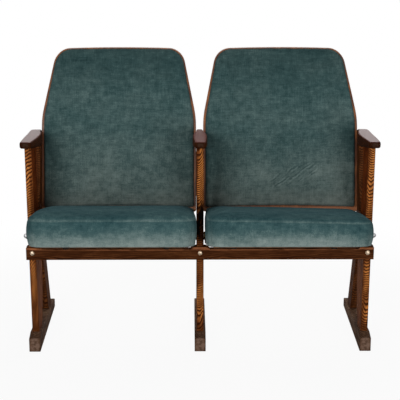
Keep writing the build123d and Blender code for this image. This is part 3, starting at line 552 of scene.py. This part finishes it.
def plywood(name, x, seed):
    """
    Stained plywood. At height z the arc's lean has the sine (z - start) / radius + sin(low), held
    between the sines of the two leans. It gives the front face's y and the distance behind it.
    """
    ply = Finish(name, Specular_IOR_Level=0.3)
    place = ply.place()
    _, y, z = ply.split(place)
    low, high = radians(BACK_LEAN), radians(BACK_TOP_LEAN)
    (start_y, start_z), (_, end_z) = bend()
    lean = ((z - start_z) / BACK_BEND_RADIUS + sin(low)).most(sin(low)).least(sin(high))
    fall = (1 - lean**2) ** 0.5
    front = (z - start_z).least(0.0) * tan(low) + (z - end_z).most(0.0) * tan(high) + start_y
    depth = (y - front - (cos(low) - fall) * BACK_BEND_RADIUS) * fall + 0.3 * VENEER
    odd = ((depth / VENEER).floor() * 0.5).fract() * 2.0
    cut = depth.steps(0.0004, 0.0008)

    grain = ply.noise(ply.stretch(ply.place((x, 0, 0)), 55, 55, 6, seed), detail=4, distortion=0.4)
    pores = ply.noise(ply.stretch(place, 700, 700, 22), detail=2).steps(0.54, 0.68)
    face = ply.ramp(grain, *zip((0.3, 0.5, 0.72), PLY_FACE))
    # painted highlight on the face below the pad
    face = ply.mix((1 - z.steps(*FOOT_HIGHLIGHT_SPAN)) * (1 - cut), face, PLY_FOOT_HIGHLIGHT)
    layered = ply.mix(cut * 0.6, face, ply.mix(odd, *PLY_EDGE))
    ply.put("Base Color", ply.mix(pores * 0.5, layered, PLY_PORE))
    ply.put("Roughness", 0.35 + pores * 0.2)
    ply.put("Normal", ply.bump(1 - pores, 0.0002, 0.4))
    return ply.material


for seed, place in enumerate(("left", "right")):
    low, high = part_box(f"{place}_back_panel")
    dress(f"{place}_back_panel", plywood(f"{place}_back_ply", (low.x + high.x) / 2, seed))
    print(place, "back panel, up to z =", round(high.z, 3))

# %% [markdown]
# ## Metal, rubber and plain wood
# Small parts get the same care in fewer nodes: dulled nickel, brass, black enamelled steel, rubber,
# and the stained beech of the parts under the seat. Old metal is never one grey. A cloud that
# changes its colour and its shine together reads as dirt and wear, where scratches drawn one by one
# would be lost at this size.


# %% Small finishes
def metal(name, colour, roughness, dirt=(0.05, 0.045, 0.04)):
    """Old plated metal: dull patches and a little dirt."""
    plate = Finish(name, Metallic=1.0)
    cloud = plate.noise(plate.place(), 220, detail=3)
    plate.put("Base Color", plate.mix(cloud.steps(0.45, 0.75) * 0.55, colour, dirt))
    plate.put("Roughness", roughness + (cloud - 0.5) * 0.25)
    return plate.material


def japan(name):
    """Black stoving enamel on rolled steel."""
    paint = Finish(name)
    cloud = paint.noise(paint.place(), 160, detail=4)
    worn = cloud.steps(0.5, 0.8)
    paint.put("Base Color", paint.mix(worn, (0.018, 0.018, 0.02), (0.05, 0.045, 0.042)))
    paint.put("Roughness", 0.35 + cloud * 0.25)
    paint.put("Normal", paint.bump(cloud, 0.0003, 0.2))
    return paint.material


def rubber(name):
    """Dusty black rubber with a fine rough skin."""
    soft = Finish(name, Roughness=0.8, Specular_IOR_Level=0.1)
    speck = soft.noise(soft.place(), 900, detail=2)
    soft.put("Base Color", soft.mix(speck, (0.008, 0.007, 0.006), (0.022, 0.019, 0.016)))
    soft.put("Normal", soft.bump(speck, 0.0002, 0.3))
    return soft.material


nickel = metal("dull_nickel", (0.45, 0.45, 0.46), 0.3)
steel = metal("dark_steel", (0.34, 0.31, 0.28), 0.42)
brass = metal("dull_brass", (0.78, 0.62, 0.42), 0.34, dirt=(0.3, 0.2, 0.11))
bush_brass = metal("turned_brass", (0.32, 0.22, 0.11), 0.4, dirt=(0.05, 0.035, 0.02))
enamel = japan("black_japan")
buffer_rubber = rubber("buffer_rubber")
print("small finishes:", ", ".join(m.name for m in (nickel, steel, brass, bush_brass, enamel)))

# %% Plain wood under the seats
PLAIN = ((0.05, 0.024, 0.012), (0.10, 0.05, 0.026), (0.16, 0.085, 0.046), (0.28, 0.165, 0.095))
BEECH = {"pith": (0.04, 0.06), "ring": 0.005, "tones": PLAIN, "gloss": 0.5}
SEAT_PLY = {"pith": (0.0, 0.3), "ring": 0.012, "tones": PLAIN, "gloss": 0.5}

beech = oak("stained_beech", (0, 0, 0.35), (0, 90, 0), **BEECH)
cleat_beech = oak("cleat_beech", (0, 0.15, 0.5), (-BACK_LEAN, 0, 0), **BEECH)
seat_ply = oak("seat_ply", (0, 0, 0.35), (0, 90, 0), **SEAT_PLY)
print("plain wood:", ", ".join(wood.name for wood in (beech, cleat_beech, seat_ply)))

# %% Dressing the small parts
for name in ("outer_pivot_bolts", "middle_pivot_pin", "pivot_washers", "pivot_cap_nuts"):
    dress(name, nickel)
dress("rail_screws", metal("lacquered_steel", (0.62, 0.5, 0.38), 0.4, dirt=(0.2, 0.13, 0.08)))
for name in ("rear_rail_screws", "cleat_screws", "back_panel_screws"):
    dress(name, steel)
dress("rail_cup_washers", brass)
dress("frame_dowels", beech)
for place in ("left", "right"):
    for edge in ("outer", "inner"):
        dress(f"{place}_{edge}_back_cleat", cleat_beech)
        dress(f"{place}_{edge}_side_batten", beech)
        dress(f"{place}_{edge}_hinge_plate", enamel)
    dress(f"{place}_landing_batten", beech)
    dress(f"{place}_stop_batten", beech)
    dress(f"{place}_seat_board", seat_ply)
    dress(f"{place}_hinge_bushes", bush_brass)
    dress(f"{place}_rubber_buffers", buffer_rubber)
    dress(f"{place}_hinge_screws", steel)
    dress(f"{place}_batten_screws", steel)
print("finishes", len(bpy.data.materials))

# %% [markdown]
# ## Sewn covers
# A cushion's cover is a flat top and a boxing strip sewn round it. A box with rounded edges would
# have no seam to follow, so the mesh is laid out as the cover is: a square grid for the top, rows
# of the same columns for the wall, and a square grid underneath. The square grid is carried onto
# the cushion's outline by giving every point its share of the way from the middle to the rim.


# %% Outlines
ARC_POINTS = 24  # at each corner of an outline


def arc_loop(corners, radii):
    """
    A closed outline: straight sides with an arc at each corner.

    An arc's centre lies on the corner's bisector, at radius over the sine of half the corner's
    angle, and the arc's points turn evenly from one tangent point to the other.
    """
    corners = np.asarray(corners, float)
    into = np.roll(corners, 1, axis=0) - corners
    out = np.roll(corners, -1, axis=0) - corners
    into /= np.linalg.norm(into, axis=1, keepdims=True)
    out /= np.linalg.norm(out, axis=1, keepdims=True)
    half = np.arccos(np.clip((into * out).sum(1), -1, 1)) / 2
    bisector = into + out
    bisector /= np.linalg.norm(bisector, axis=1, keepdims=True)
    radii = np.asarray(radii, float)
    centre = corners + bisector * (radii / np.sin(half))[:, None]
    sweep = np.pi - 2 * half
    spread = np.linspace(-0.5, 0.5, ARC_POINTS)[None, :] * sweep[:, None]
    facing = np.arctan2(-bisector[:, 1], -bisector[:, 0])[:, None] + spread
    out_from = np.stack([np.cos(facing), np.sin(facing)], -1)
    return (centre[:, None, :] + radii[:, None, None] * out_from).reshape(-1, 2)


def arc_middles(*numbers):
    """Where in an outline the middles of these arcs are."""
    return [number * ARC_POINTS + ARC_POINTS // 2 for number in numbers]


def round_loop(loop, marks, turns):
    """The points of a closed loop at turns: 0 to 3 are the marked points, and 4 the first again."""
    closed = np.vstack([loop, loop[:1]])
    along = np.concatenate([[0], np.cumsum(np.linalg.norm(np.diff(closed, axis=0), axis=1))])
    stops = np.append(along[marks], along[marks[0]] + along[-1])
    wanted = np.interp(turns, np.arange(5), stops) % along[-1]
    return np.stack([np.interp(wanted, along, closed[:, k]) for k in (0, 1)], axis=-1)


# %% Cover meshes
SEAM_RING = 0.0016  # the ring of the top next to the seam is this wide


def cover(name, loop, marks, cells, wall, crown, place):
    """
    A closed cover as a mesh. loop and marks are its outline and the four corners of its grids, and
    cells the grid's (across, along) counts. wall is a list of (inset, height) rows from the foot
    to the seam, crown(share, x, y) gives the top's extra height, and place carries (x, y, height)
    to the bench.

    In a square grid, a point's share is the larger of |a| and |b|, and its direction is where
    (a, b) / share lies round the square's rim.
    """
    across, along = cells
    middle = (loop.min(0) + loop.max(0)) / 2
    half = (loop.max(0) - loop.min(0)).min() / 2
    edge = 1 - SEAM_RING / half
    steps = (np.concatenate([[-1], np.linspace(-edge, edge, n - 1), [1]]) for n in (across, along))
    a, b = np.meshgrid(*steps)
    share = np.maximum(np.abs(a), np.abs(b))
    safe = np.maximum(share, 1e-9)
    p, q = a / safe, b / safe
    turns = np.where(
        np.abs(q) >= np.abs(p) - 1e-12,
        np.where(q < 0, (p + 1) / 2, 2 + (1 - p) / 2),
        np.where(p > 0, 1 + (q + 1) / 2, 3 + (1 - q) / 2),
    )
    rim = round_loop(loop, marks, turns)
    around = (a[0], b[:, 0], a[0], b[:, 0])
    rim_turns = np.concatenate([side + (line[:-1] + 1) / 2 for side, line in enumerate(around)])
    rim_points = round_loop(loop, marks, rim_turns)

    def inset(points, depth):
        return middle + (points - middle) * (1 - depth / half)

    foot_inset, foot_height = wall[0]
    seam_inset, seam_height = wall[-1]
    flat = middle + (rim - middle) * share[..., None]
    top, bottom = inset(flat, seam_inset), inset(flat, foot_inset)
    insets, heights = np.array(wall).T
    sides = np.stack([inset(rim_points, depth) for depth in insets])
    levels = np.repeat(heights[:, None], len(rim_turns), 1)
    points = [
        place(top[..., 0], top[..., 1], seam_height + crown(share, top[..., 0], top[..., 1])),
        place(sides[..., 0], sides[..., 1], levels),
        place(bottom[..., 0], bottom[..., 1], np.full(share.shape, foot_height)),
    ]
    seam_gap = [  # how far each point is from the seam: inwards on the top, and negative below it
        (1 - share) * half,
        levels - seam_height,
        np.full(share.shape, foot_height - seam_height),
    ]

    faces, start = [], 0
    for patch, wraps, flip in zip(points, (False, True, False), (False, False, True)):
        rows, columns = patch.shape[:2]
        index = start + np.arange(rows * columns).reshape(rows, columns)
        if wraps:
            index = np.hstack([index, index[:, :1]])
        quads = np.stack([index[:-1, :-1], index[:-1, 1:], index[1:, 1:], index[1:, :-1]], -1)
        quads = quads.reshape(-1, 4)
        faces.append(quads[:, ::-1] if flip else quads)
        start += rows * columns
    mesh = bpy.data.meshes.new(name)
    vertices = np.concatenate([patch.reshape(-1, 3) for patch in points])
    mesh.from_pydata(vertices, [], np.concatenate(faces))
    values = np.concatenate([patch.ravel() for patch in seam_gap]).astype(np.float32)
    mesh.attributes.new("seam_gap", "FLOAT", "POINT").data.foreach_set("value", values)
    piece = bpy.data.objects.new(name, mesh)
    scene.collection.objects.link(piece)
    weld(piece)
    print(name, "with", len(mesh.polygons), "faces")
    return piece


def weld(piece, gap=1e-6):
    """Joins points that lie together, turns the faces outwards and smooths the shading."""
    work = bmesh.new()
    work.from_mesh(piece.data)
    bmesh.ops.remove_doubles(work, verts=work.verts, dist=gap)
    bmesh.ops.recalc_face_normals(work, faces=work.faces)
    work.to_mesh(piece.data)
    work.free()
    piece.data.shade_smooth()


# %% Reading and writing points
def points_of(mesh):
    """The mesh's points as rows of x, y and z."""
    values = np.empty(len(mesh.vertices) * 3, np.float32)
    mesh.vertices.foreach_get("co", values)
    return values.reshape(-1, 3).astype(float)


def put_points(mesh, points):
    """Moves the mesh's points to these rows."""
    mesh.vertices.foreach_set("co", points.astype(np.float32).ravel())
    mesh.update()


def seam_gaps(mesh):
    """How far each point of a cover is from its seam."""
    values = np.empty(len(mesh.vertices), np.float32)
    mesh.attributes["seam_gap"].data.foreach_get("value", values)
    return values.astype(float)


# %% [markdown]
# ## Stuffing
# A sewn cover takes its shape from the stuffing that pushes it out. A bulge could be written into
# the formula, but it would look the same all round. Cloth with a little pressure inside finds it:
# the walls belly between the seams and the corners soften. The underside is held, as it is stapled
# to a board, and no point may move further than the cover would stretch.


# %% Stuffing by cloth
CLOTH_FRAMES = 20


def stuff(piece, pressure, reach, held):
    """
    Runs cloth with pressure on the piece and applies the result. held is 1 where points are kept. A
    point that the cloth moved by d moves by reach * tanh(d / reach), which never passes reach.
    """
    rest = points_of(piece.data)
    group = piece.vertex_groups.new(name="held")
    for level in np.unique(held[held > 0]):
        group.add(np.flatnonzero(held == level).tolist(), float(level), "REPLACE")
    cloth = piece.modifiers.new("cover", "CLOTH")
    cloth.settings.quality = 6
    cloth.settings.mass = 0.3
    cloth.settings.tension_stiffness = 20
    cloth.settings.compression_stiffness = 12
    cloth.settings.bending_stiffness = 1.5
    cloth.settings.use_pressure = True
    cloth.settings.uniform_pressure_force = pressure
    cloth.settings.vertex_group_mass = "held"
    cloth.settings.effector_weights.gravity = 0
    cloth.collision_settings.use_collision = False
    cloth.point_cache.frame_start = 1
    cloth.point_cache.frame_end = CLOTH_FRAMES
    for number in range(1, CLOTH_FRAMES + 1):
        scene.frame_set(number)
    moved = points_of(piece.evaluated_get(bpy.context.evaluated_depsgraph_get()).data)
    piece.modifiers.remove(cloth)
    piece.vertex_groups.remove(group)
    scene.frame_set(1)
    step = moved - rest
    length = np.linalg.norm(step, axis=1)
    step *= (reach * np.tanh(length / reach) / np.maximum(length, 1e-9))[:, None]
    put_points(piece.data, rest + step)
    furthest = float(np.linalg.norm(step, axis=1).max())
    print(piece.name, "moved by up to", round(furthest * 1000, 1), "mm")


# %% [markdown]
# ## Velvet
# Velvet has a pile that leans. Where it leans away it looks dark and saturated, and where a hand
# has brushed it the other way it looks pale and grey. Hair could be grown on the covers, but it
# would be finer than a pixel and very heavy. So one value, the nap, stands for the lean. It is a
# sum of clouds of different size: a hand's width, a finger's width, the pile itself, and the uneven
# yarns of the ground weave, which show through as fine level and upright lines. Old velvet also
# fades, so the nap picks a colour from a fresh and from a worn row of tones.


# %% Velvet
SHEEN_TINT = (0.4, 0.68, 0.8)


def velvet(name, centre, turn, fresh, worn, fade, seed, yarn, crease=None):
    """
    fresh and worn are dark, middle and brushed colours. fade(finish, place) gives the level of the
    nap, how uneven it is and how worn the colour is; yarn is how far the weave shows through, and
    crease(finish, place) adds folds from -1 to 1.
    """
    pile = Finish(name, Roughness=0.9, Specular_IOR_Level=0.02)
    pile.put("Sheen Weight", 0.05)
    pile.put("Sheen Roughness", 0.4)
    pile.put("Sheen Tint", SHEEN_TINT)
    place = pile.place(centre, turn)
    shift = 5.3 * seed
    palm = pile.stretch(place, 7, 11, 11, shift)
    hand = pile.noise(palm, detail=4, roughness=0.55, distortion=0.3)
    finger = pile.noise(pile.stretch(place, 45, 60, 60, shift), detail=3, roughness=0.6)
    weft = pile.noise(pile.stretch(place, 30, 360, 360, shift), detail=2)
    warp = pile.noise(pile.stretch(place, 360, 30, 30, shift), detail=2)
    tuft = pile.noise(place, 480, detail=2, roughness=0.7)
    level, patchy, wear = fade(pile, place)
    nap = level + (hand - 0.5) * patchy + (finger - 0.5) * 0.65 + (weft + warp - 1) * yarn
    relief = tuft * 0.7 + (weft + warp) * 0.3
    if crease:
        fold = crease(pile, place)
        nap = nap + fold * 0.2
        relief = relief + fold
    nap = nap + (tuft - 0.5) * 0.7
    grey = (wear + (hand - 0.5) * 0.6).most(0.0).least(1.0)
    rows = (pile.ramp(nap, *zip((0.0, 0.45, 1.0), tones)) for tones in (fresh, worn))
    pile.put("Base Color", pile.mix(grey, *rows))
    pile.put("Normal", pile.bump(relief, 0.0006, 0.35))
    return pile.material


# %% [markdown]
# ## Back pads
# Each pad is a thin quilt stapled over the front of the bent plywood, flat but for its rolled edge.
# A flat pad could be bent by a modifier, which would stretch it. Here each point is put straight
# onto the bent face: a height gives the distance back, first straight, then round the arc, then
# straight again.


# %% Bent face
def bent_face(z):
    """How far back the front of the plywood is at height z, and its lean there in radians."""
    low, high = radians(BACK_LEAN), radians(BACK_TOP_LEAN)
    (start_y, start_z), (end_y, end_z) = bend()
    sine = (z - start_z) / BACK_BEND_RADIUS + np.sin(low)
    lean = np.arcsin(np.clip(sine, np.sin(low), np.sin(high)))
    arc_y = start_y + BACK_BEND_RADIUS * (np.cos(low) - np.cos(lean))
    y = np.where(z < start_z, start_y + (z - start_z) * np.tan(low), arc_y)
    return np.where(z > end_z, end_y + (z - end_z) * np.tan(high), y), lean


# %% Pad covers
PAD_THICK = 0.009
PAD_ROLL = 0.007  # how far the rim curls in on its way up
PAD_CROWN = 0.002
PAD_CELLS = (96, 96)
PAD_HALF = 0.242
PAD_TOP_HALF = 0.2015
PAD_FOOT = 0.4145
PAD_SHOULDER = 0.696  # here the sides turn in towards the top
PAD_TOP = 0.902
PAD_OUTLINE = [
    (-PAD_HALF, PAD_FOOT), (PAD_HALF, PAD_FOOT), (PAD_HALF, PAD_SHOULDER),
    (PAD_TOP_HALF, PAD_TOP), (-PAD_TOP_HALF, PAD_TOP), (-PAD_HALF, PAD_SHOULDER),
]
PAD_RADII = [0.008, 0.008, 0.26, 0.052, 0.052, 0.26]
PAD_ARCH = 0.006  # the bottom edge is higher in its middle
PAD_TOP_ARCH = 0.004  # and the top edge too
PAD_PRESSURE = 2.0
PAD_GIVE = 0.002


def back_pad(side, middle):
    """
    One pad: a rolled edge, a flat front with a slight crown, and a flat back on the plywood. The
    crown is 1 - share ** 6, and an edge arches by 1 - (x / half) ** 2, which fades out upwards or
    downwards.
    """
    loop = arc_loop(PAD_OUTLINE, PAD_RADII)
    angle = np.linspace(0, np.pi / 2, 5)
    wall = list(zip(PAD_ROLL * (1 - np.cos(angle)), PAD_THICK * np.sin(angle)))

    def crown(share, x, z):
        return PAD_CROWN * (1 - share**6)

    def place(x, z, height):
        bow = 1 - (x / PAD_HALF) ** 2
        foot = PAD_ARCH * np.clip((0.5 - z) / 0.08, 0, 1)
        head = PAD_TOP_ARCH * np.clip((z - 0.75) / 0.15, 0, 1)
        z = z + bow * (foot + head)
        y, lean = bent_face(z)
        return np.stack([middle + x, y - height / np.cos(lean), z], -1)

    name = f"{side}_pad_cover"
    pad = cover(name, loop, arc_middles(0, 1, 3, 4), PAD_CELLS, wall, crown, place)
    held = np.where(seam_gaps(pad.data) < -0.5 * PAD_THICK, 1.0, 0.0)
    stuff(pad, PAD_PRESSURE, PAD_GIVE, held)
    return pad


# %% Finish of the pads
PAD_FRESH = ((0.008, 0.024, 0.026), (0.036, 0.073, 0.073), (0.115, 0.185, 0.18))
PAD_WORN = ((0.020, 0.029, 0.028), (0.065, 0.084, 0.077), (0.175, 0.205, 0.185))


def pad_fade(pile, place):
    """Backs brush the lower half and the very foot. Beside the arms, below their level, the pile is
    painted darker as shade.
    """
    x, _, z = pile.split(place)
    low = 1 - z.steps(-0.24, 0.05)
    foot = 1 - z.steps(-0.238, -0.165)
    # painted shade: darker beside the arms, below their level
    side = (x * x).steps(0.17**2, 0.245**2) * (1 - z.steps(-0.03, 0.06))
    level = 0.55 - z.steps(0.1, 0.27) * 0.2 + low * 0.14 + foot * 0.05 - side * 0.22
    return level, 0.5 + low * 0.3, 0.08 + low * 0.5 + foot * 0.3


# %% Creases of the right pad
CREASE_AT = (0.044, -0.137)
CREASE_REACH = (0.105, 0.031)
CREASE_LIE = 19  # how the whole patch slopes, in degrees
CREASE_SLOPE = 38  # and each fold in it
CREASE_SPACING = 0.0105


def pad_crease(pile, place):
    """Slanting folds inside a flat ellipse: a sine across them, broken up by a cloud."""
    x, _, z = pile.split(place)
    x, z = x - CREASE_AT[0], z - CREASE_AT[1]

    def turned(angle):
        return x * cos(angle) + z * sin(angle), z * cos(angle) - x * sin(angle)

    inside = 1 - ellipse(turned(radians(CREASE_LIE)), (0, 0), CREASE_REACH).steps(0.3, 1.0)
    along, across = turned(radians(CREASE_SLOPE))
    stray = (pile.noise(place, 36, detail=2) - 0.5) * 0.014
    wave = ((across + stray) * (2 * pi / CREASE_SPACING)).sine()
    lane = pile.add("ShaderNodeCombineXYZ", None, {0: along * 22, 1: across * 75})
    broken = pile.noise(lane, detail=1).steps(0.42, 0.58)
    return wave * inside * broken


# %% The two pads
PAD_YARN = 0.35

for seed, (side, crease) in enumerate((("left", None), ("right", pad_crease))):
    low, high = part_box(f"{side}_back_pad")
    middle = (low.x + high.x) / 2
    pad = back_pad(side, middle)
    finish = velvet(
        f"{side}_pad_velvet", (middle, 0.15, 0.65), (-BACK_LEAN, 0, 0), PAD_FRESH, PAD_WORN,
        pad_fade, seed, PAD_YARN, crease,
    )
    pad.data.materials.append(finish)
    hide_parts(f"{side}_back_pad")
    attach(pad, "frame")

# %% [markdown]
# ## Seat cushions
# A seat cushion is a boxed cushion on a thin board. Its frame follows the board, which falls to the
# rear: x across, then along towards the rear, then up square to the board. The cover's underside is
# let a little way into the board, because two faces in one plane would flicker. Between the
# standards the cushion just fits. In front of the posts nothing holds it, and there it spreads over
# them. When the seat tips up, that front end goes in between the standards, where it could run into
# them.

# %% Seat cushions
SEAT_TILT = 9.3
PIVOT = (-0.050, 0.363)
PIVOT_RISE = 0.002  # how far the pivots are above the cushion's foot
SEAT_HALF = 0.2462
SEAT_FRONT = -0.2735
SEAT_BACK = 0.1245
SEAT_OUTLINE = [
    (-SEAT_HALF, SEAT_FRONT), (SEAT_HALF, SEAT_FRONT),
    (SEAT_HALF, SEAT_BACK), (-SEAT_HALF, SEAT_BACK),
]
SEAT_RADII = [0.045, 0.045, 0.032, 0.032]
SEAT_CELLS = (90, 74)
SEAT_HEIGHT = 0.077
SEAT_ROLL = {"left": 0.0205, "right": 0.0175}  # how far the rim of the top rolls down to the seam
SEAT_REAR = 0.06  # of which this much is left at the rear, where the back presses on it
SEAT_SLUMP = {"left": 0.0, "right": 0.13}  # how much lower the cover is at its right side
SEAT_SPREAD = {"left": (0.0085, 0.0045), "right": (0.001, 0.0058)}  # over the left and right post
POST_FACE = -0.095  # the front of the posts at this height
SPREAD_RUN = 0.035  # the spread is whole this far in front of them
WALL_BULGE = 0.0032  # how far the wall's middle stands out beyond its foot and its seam
SEAM_SINK = 0.0008
SEAT_TUCK = (0.009, 0.0035)  # inset and height of the cover's underside, let into the seat board
SIDE_LIMIT = 0.2492  # half the room between the standards, less a hair
SEAT_PRESSURE = 4.0
SEAT_GIVE = 0.005
STAPLED = 0.004  # the lowest stretch of the wall, which doesn't move
SEAM_HOLD = 0.25  # the cord in the seam keeps its shape this much


def spread(side, x, y):
    """
    How far a cushion's side stands out beyond SEAT_HALF: nothing between the posts, and in front of
    them the smooth rise t * t * (3 - 2 * t).
    """
    t = np.clip((POST_FACE - y) / SPREAD_RUN, 0, 1)
    left, right = SEAT_SPREAD[side]
    return np.where(x < 0, left, right) * t * t * (3 - 2 * t)


def seat_place(side, middle):
    """
    Carries (x, along, up) of a seat to the bench. A used cushion slumps towards one side. What
    spreads is mostly its sides, by the cube of x, and less at its foot.
    """
    tilt = radians(SEAT_TILT)
    foot_y = PIVOT[0] - PIVOT_RISE * sin(tilt)
    foot_z = PIVOT[1] - PIVOT_RISE * cos(tilt)

    def place(x, along, up):
        rise = np.clip(up / SEAT_HEIGHT, 0, 1)
        up = up * (1 - SEAT_SLUMP[side] * (0.5 + x / (2 * SIDE_LIMIT)) ** 1.5)
        y = foot_y + along * cos(tilt) + up * sin(tilt)
        z = foot_z - along * sin(tilt) + up * cos(tilt)
        share = (x / SEAT_HALF) ** 3 * (1 - 0.7 * (1 - rise) ** 3)
        return np.stack([middle + x + spread(side, x, y) * share, y, z], -1)

    return place


def seat_cushion(side, middle):
    """
    One cushion. Its wall bulges like a sine between the foot and the seam, and the top rolls up
    from the seam by sqrt(1 - share ** 24), less and less towards the rear.
    """
    loop = arc_loop(SEAT_OUTLINE, SEAT_RADII)
    rise = np.append(np.linspace(0, 1, 15)[:-1], (1 - SEAM_RING / SEAT_HEIGHT, 1))
    bulge = WALL_BULGE * (1 - np.sin(np.pi * rise))
    bulge[-1] += SEAM_SINK
    wall = [SEAT_TUCK, *zip(bulge, rise * SEAT_HEIGHT)]

    def crown(share, x, along):
        pressed = 1 - (1 - SEAT_REAR) * np.clip((along + 0.07) / 0.18, 0, 1) ** 1.3
        return SEAT_ROLL[side] * np.sqrt(1 - np.minimum(share, 1) ** 24) * pressed

    name, place = f"{side}_cushion_cover", seat_place(side, middle)
    cushion = cover(name, loop, arc_middles(0, 1, 2, 3), SEAT_CELLS, wall, crown, place)
    gap = seam_gaps(cushion.data)
    held = np.where(np.abs(gap) < 0.002, SEAM_HOLD, 0.0)
    held[gap < STAPLED - SEAT_HEIGHT] = 1.0
    stuff(cushion, SEAT_PRESSURE, SEAT_GIVE, held)
    points = points_of(cushion.data)
    across = points[:, 0] - middle
    room = SIDE_LIMIT + spread(side, across, points[:, 1])
    points[:, 0] = middle + np.clip(across, -room, room)
    put_points(cushion.data, points)
    return cushion


# %% Finish of the cushions
SEAT_FRESH = ((0.008, 0.030, 0.037), (0.037, 0.083, 0.087), (0.15, 0.23, 0.22))
SEAT_WORN = ((0.016, 0.036, 0.038), (0.07, 0.108, 0.104), (0.23, 0.275, 0.26))


def seat_fade(pile, place):
    """The top is dark, the boxing pales towards its foot, and the seam is a rubbed line."""
    gap = pile.add("ShaderNodeAttribute", {"attribute_name": "seam_gap"}, output="Fac")
    below = gap * -1.0
    # the boxing pales towards its foot: brushed pile, and partly painted light bounced up from the
    # floor
    low = below.steps(0.01, 0.075)
    seam = 1 - abs(gap).steps(0.0002, 0.0022)
    # painted shade: the top darkens towards the rear, next to the back
    rear = pile.split(place)[1].steps(-0.12, 0.05)
    level = 0.32 + below.steps(-0.002, 0.006) * 0.08 + low * 0.42 + seam * 0.2 - rear * 0.1
    return level, 0.5 + low * 0.25, 0.12 + low * 0.75 + seam * 0.3


# %% The two cushions
SEAT_YARN = 0.2

for seed, side in enumerate(("left", "right")):
    low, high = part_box(f"{side}_seat_cushion")
    middle = (low.x + high.x) / 2
    cushion = seat_cushion(side, middle)
    finish = velvet(
        f"{side}_cushion_velvet", (middle, *PIVOT), (-SEAT_TILT, 0, 0), SEAT_FRESH, SEAT_WORN,
        seat_fade, seed + 4, SEAT_YARN,
    )
    cushion.data.materials.append(finish)
    smooth = cushion.modifiers.new("smooth", "SUBSURF")
    smooth.levels = smooth.render_levels = 1
    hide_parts(f"{side}_seat_cushion")
    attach(cushion, f"{side}_seat")
    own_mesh(cushion)

# %% [markdown]
# ## Sizes
# The dressed bench should be as large as the solid one. Its box is printed, because a cover that
# has swelled too far is hard to see in one picture.

# %% Sizes
low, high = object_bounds()
print("dressed", [round(v, 4) for v in (*low, *high)])
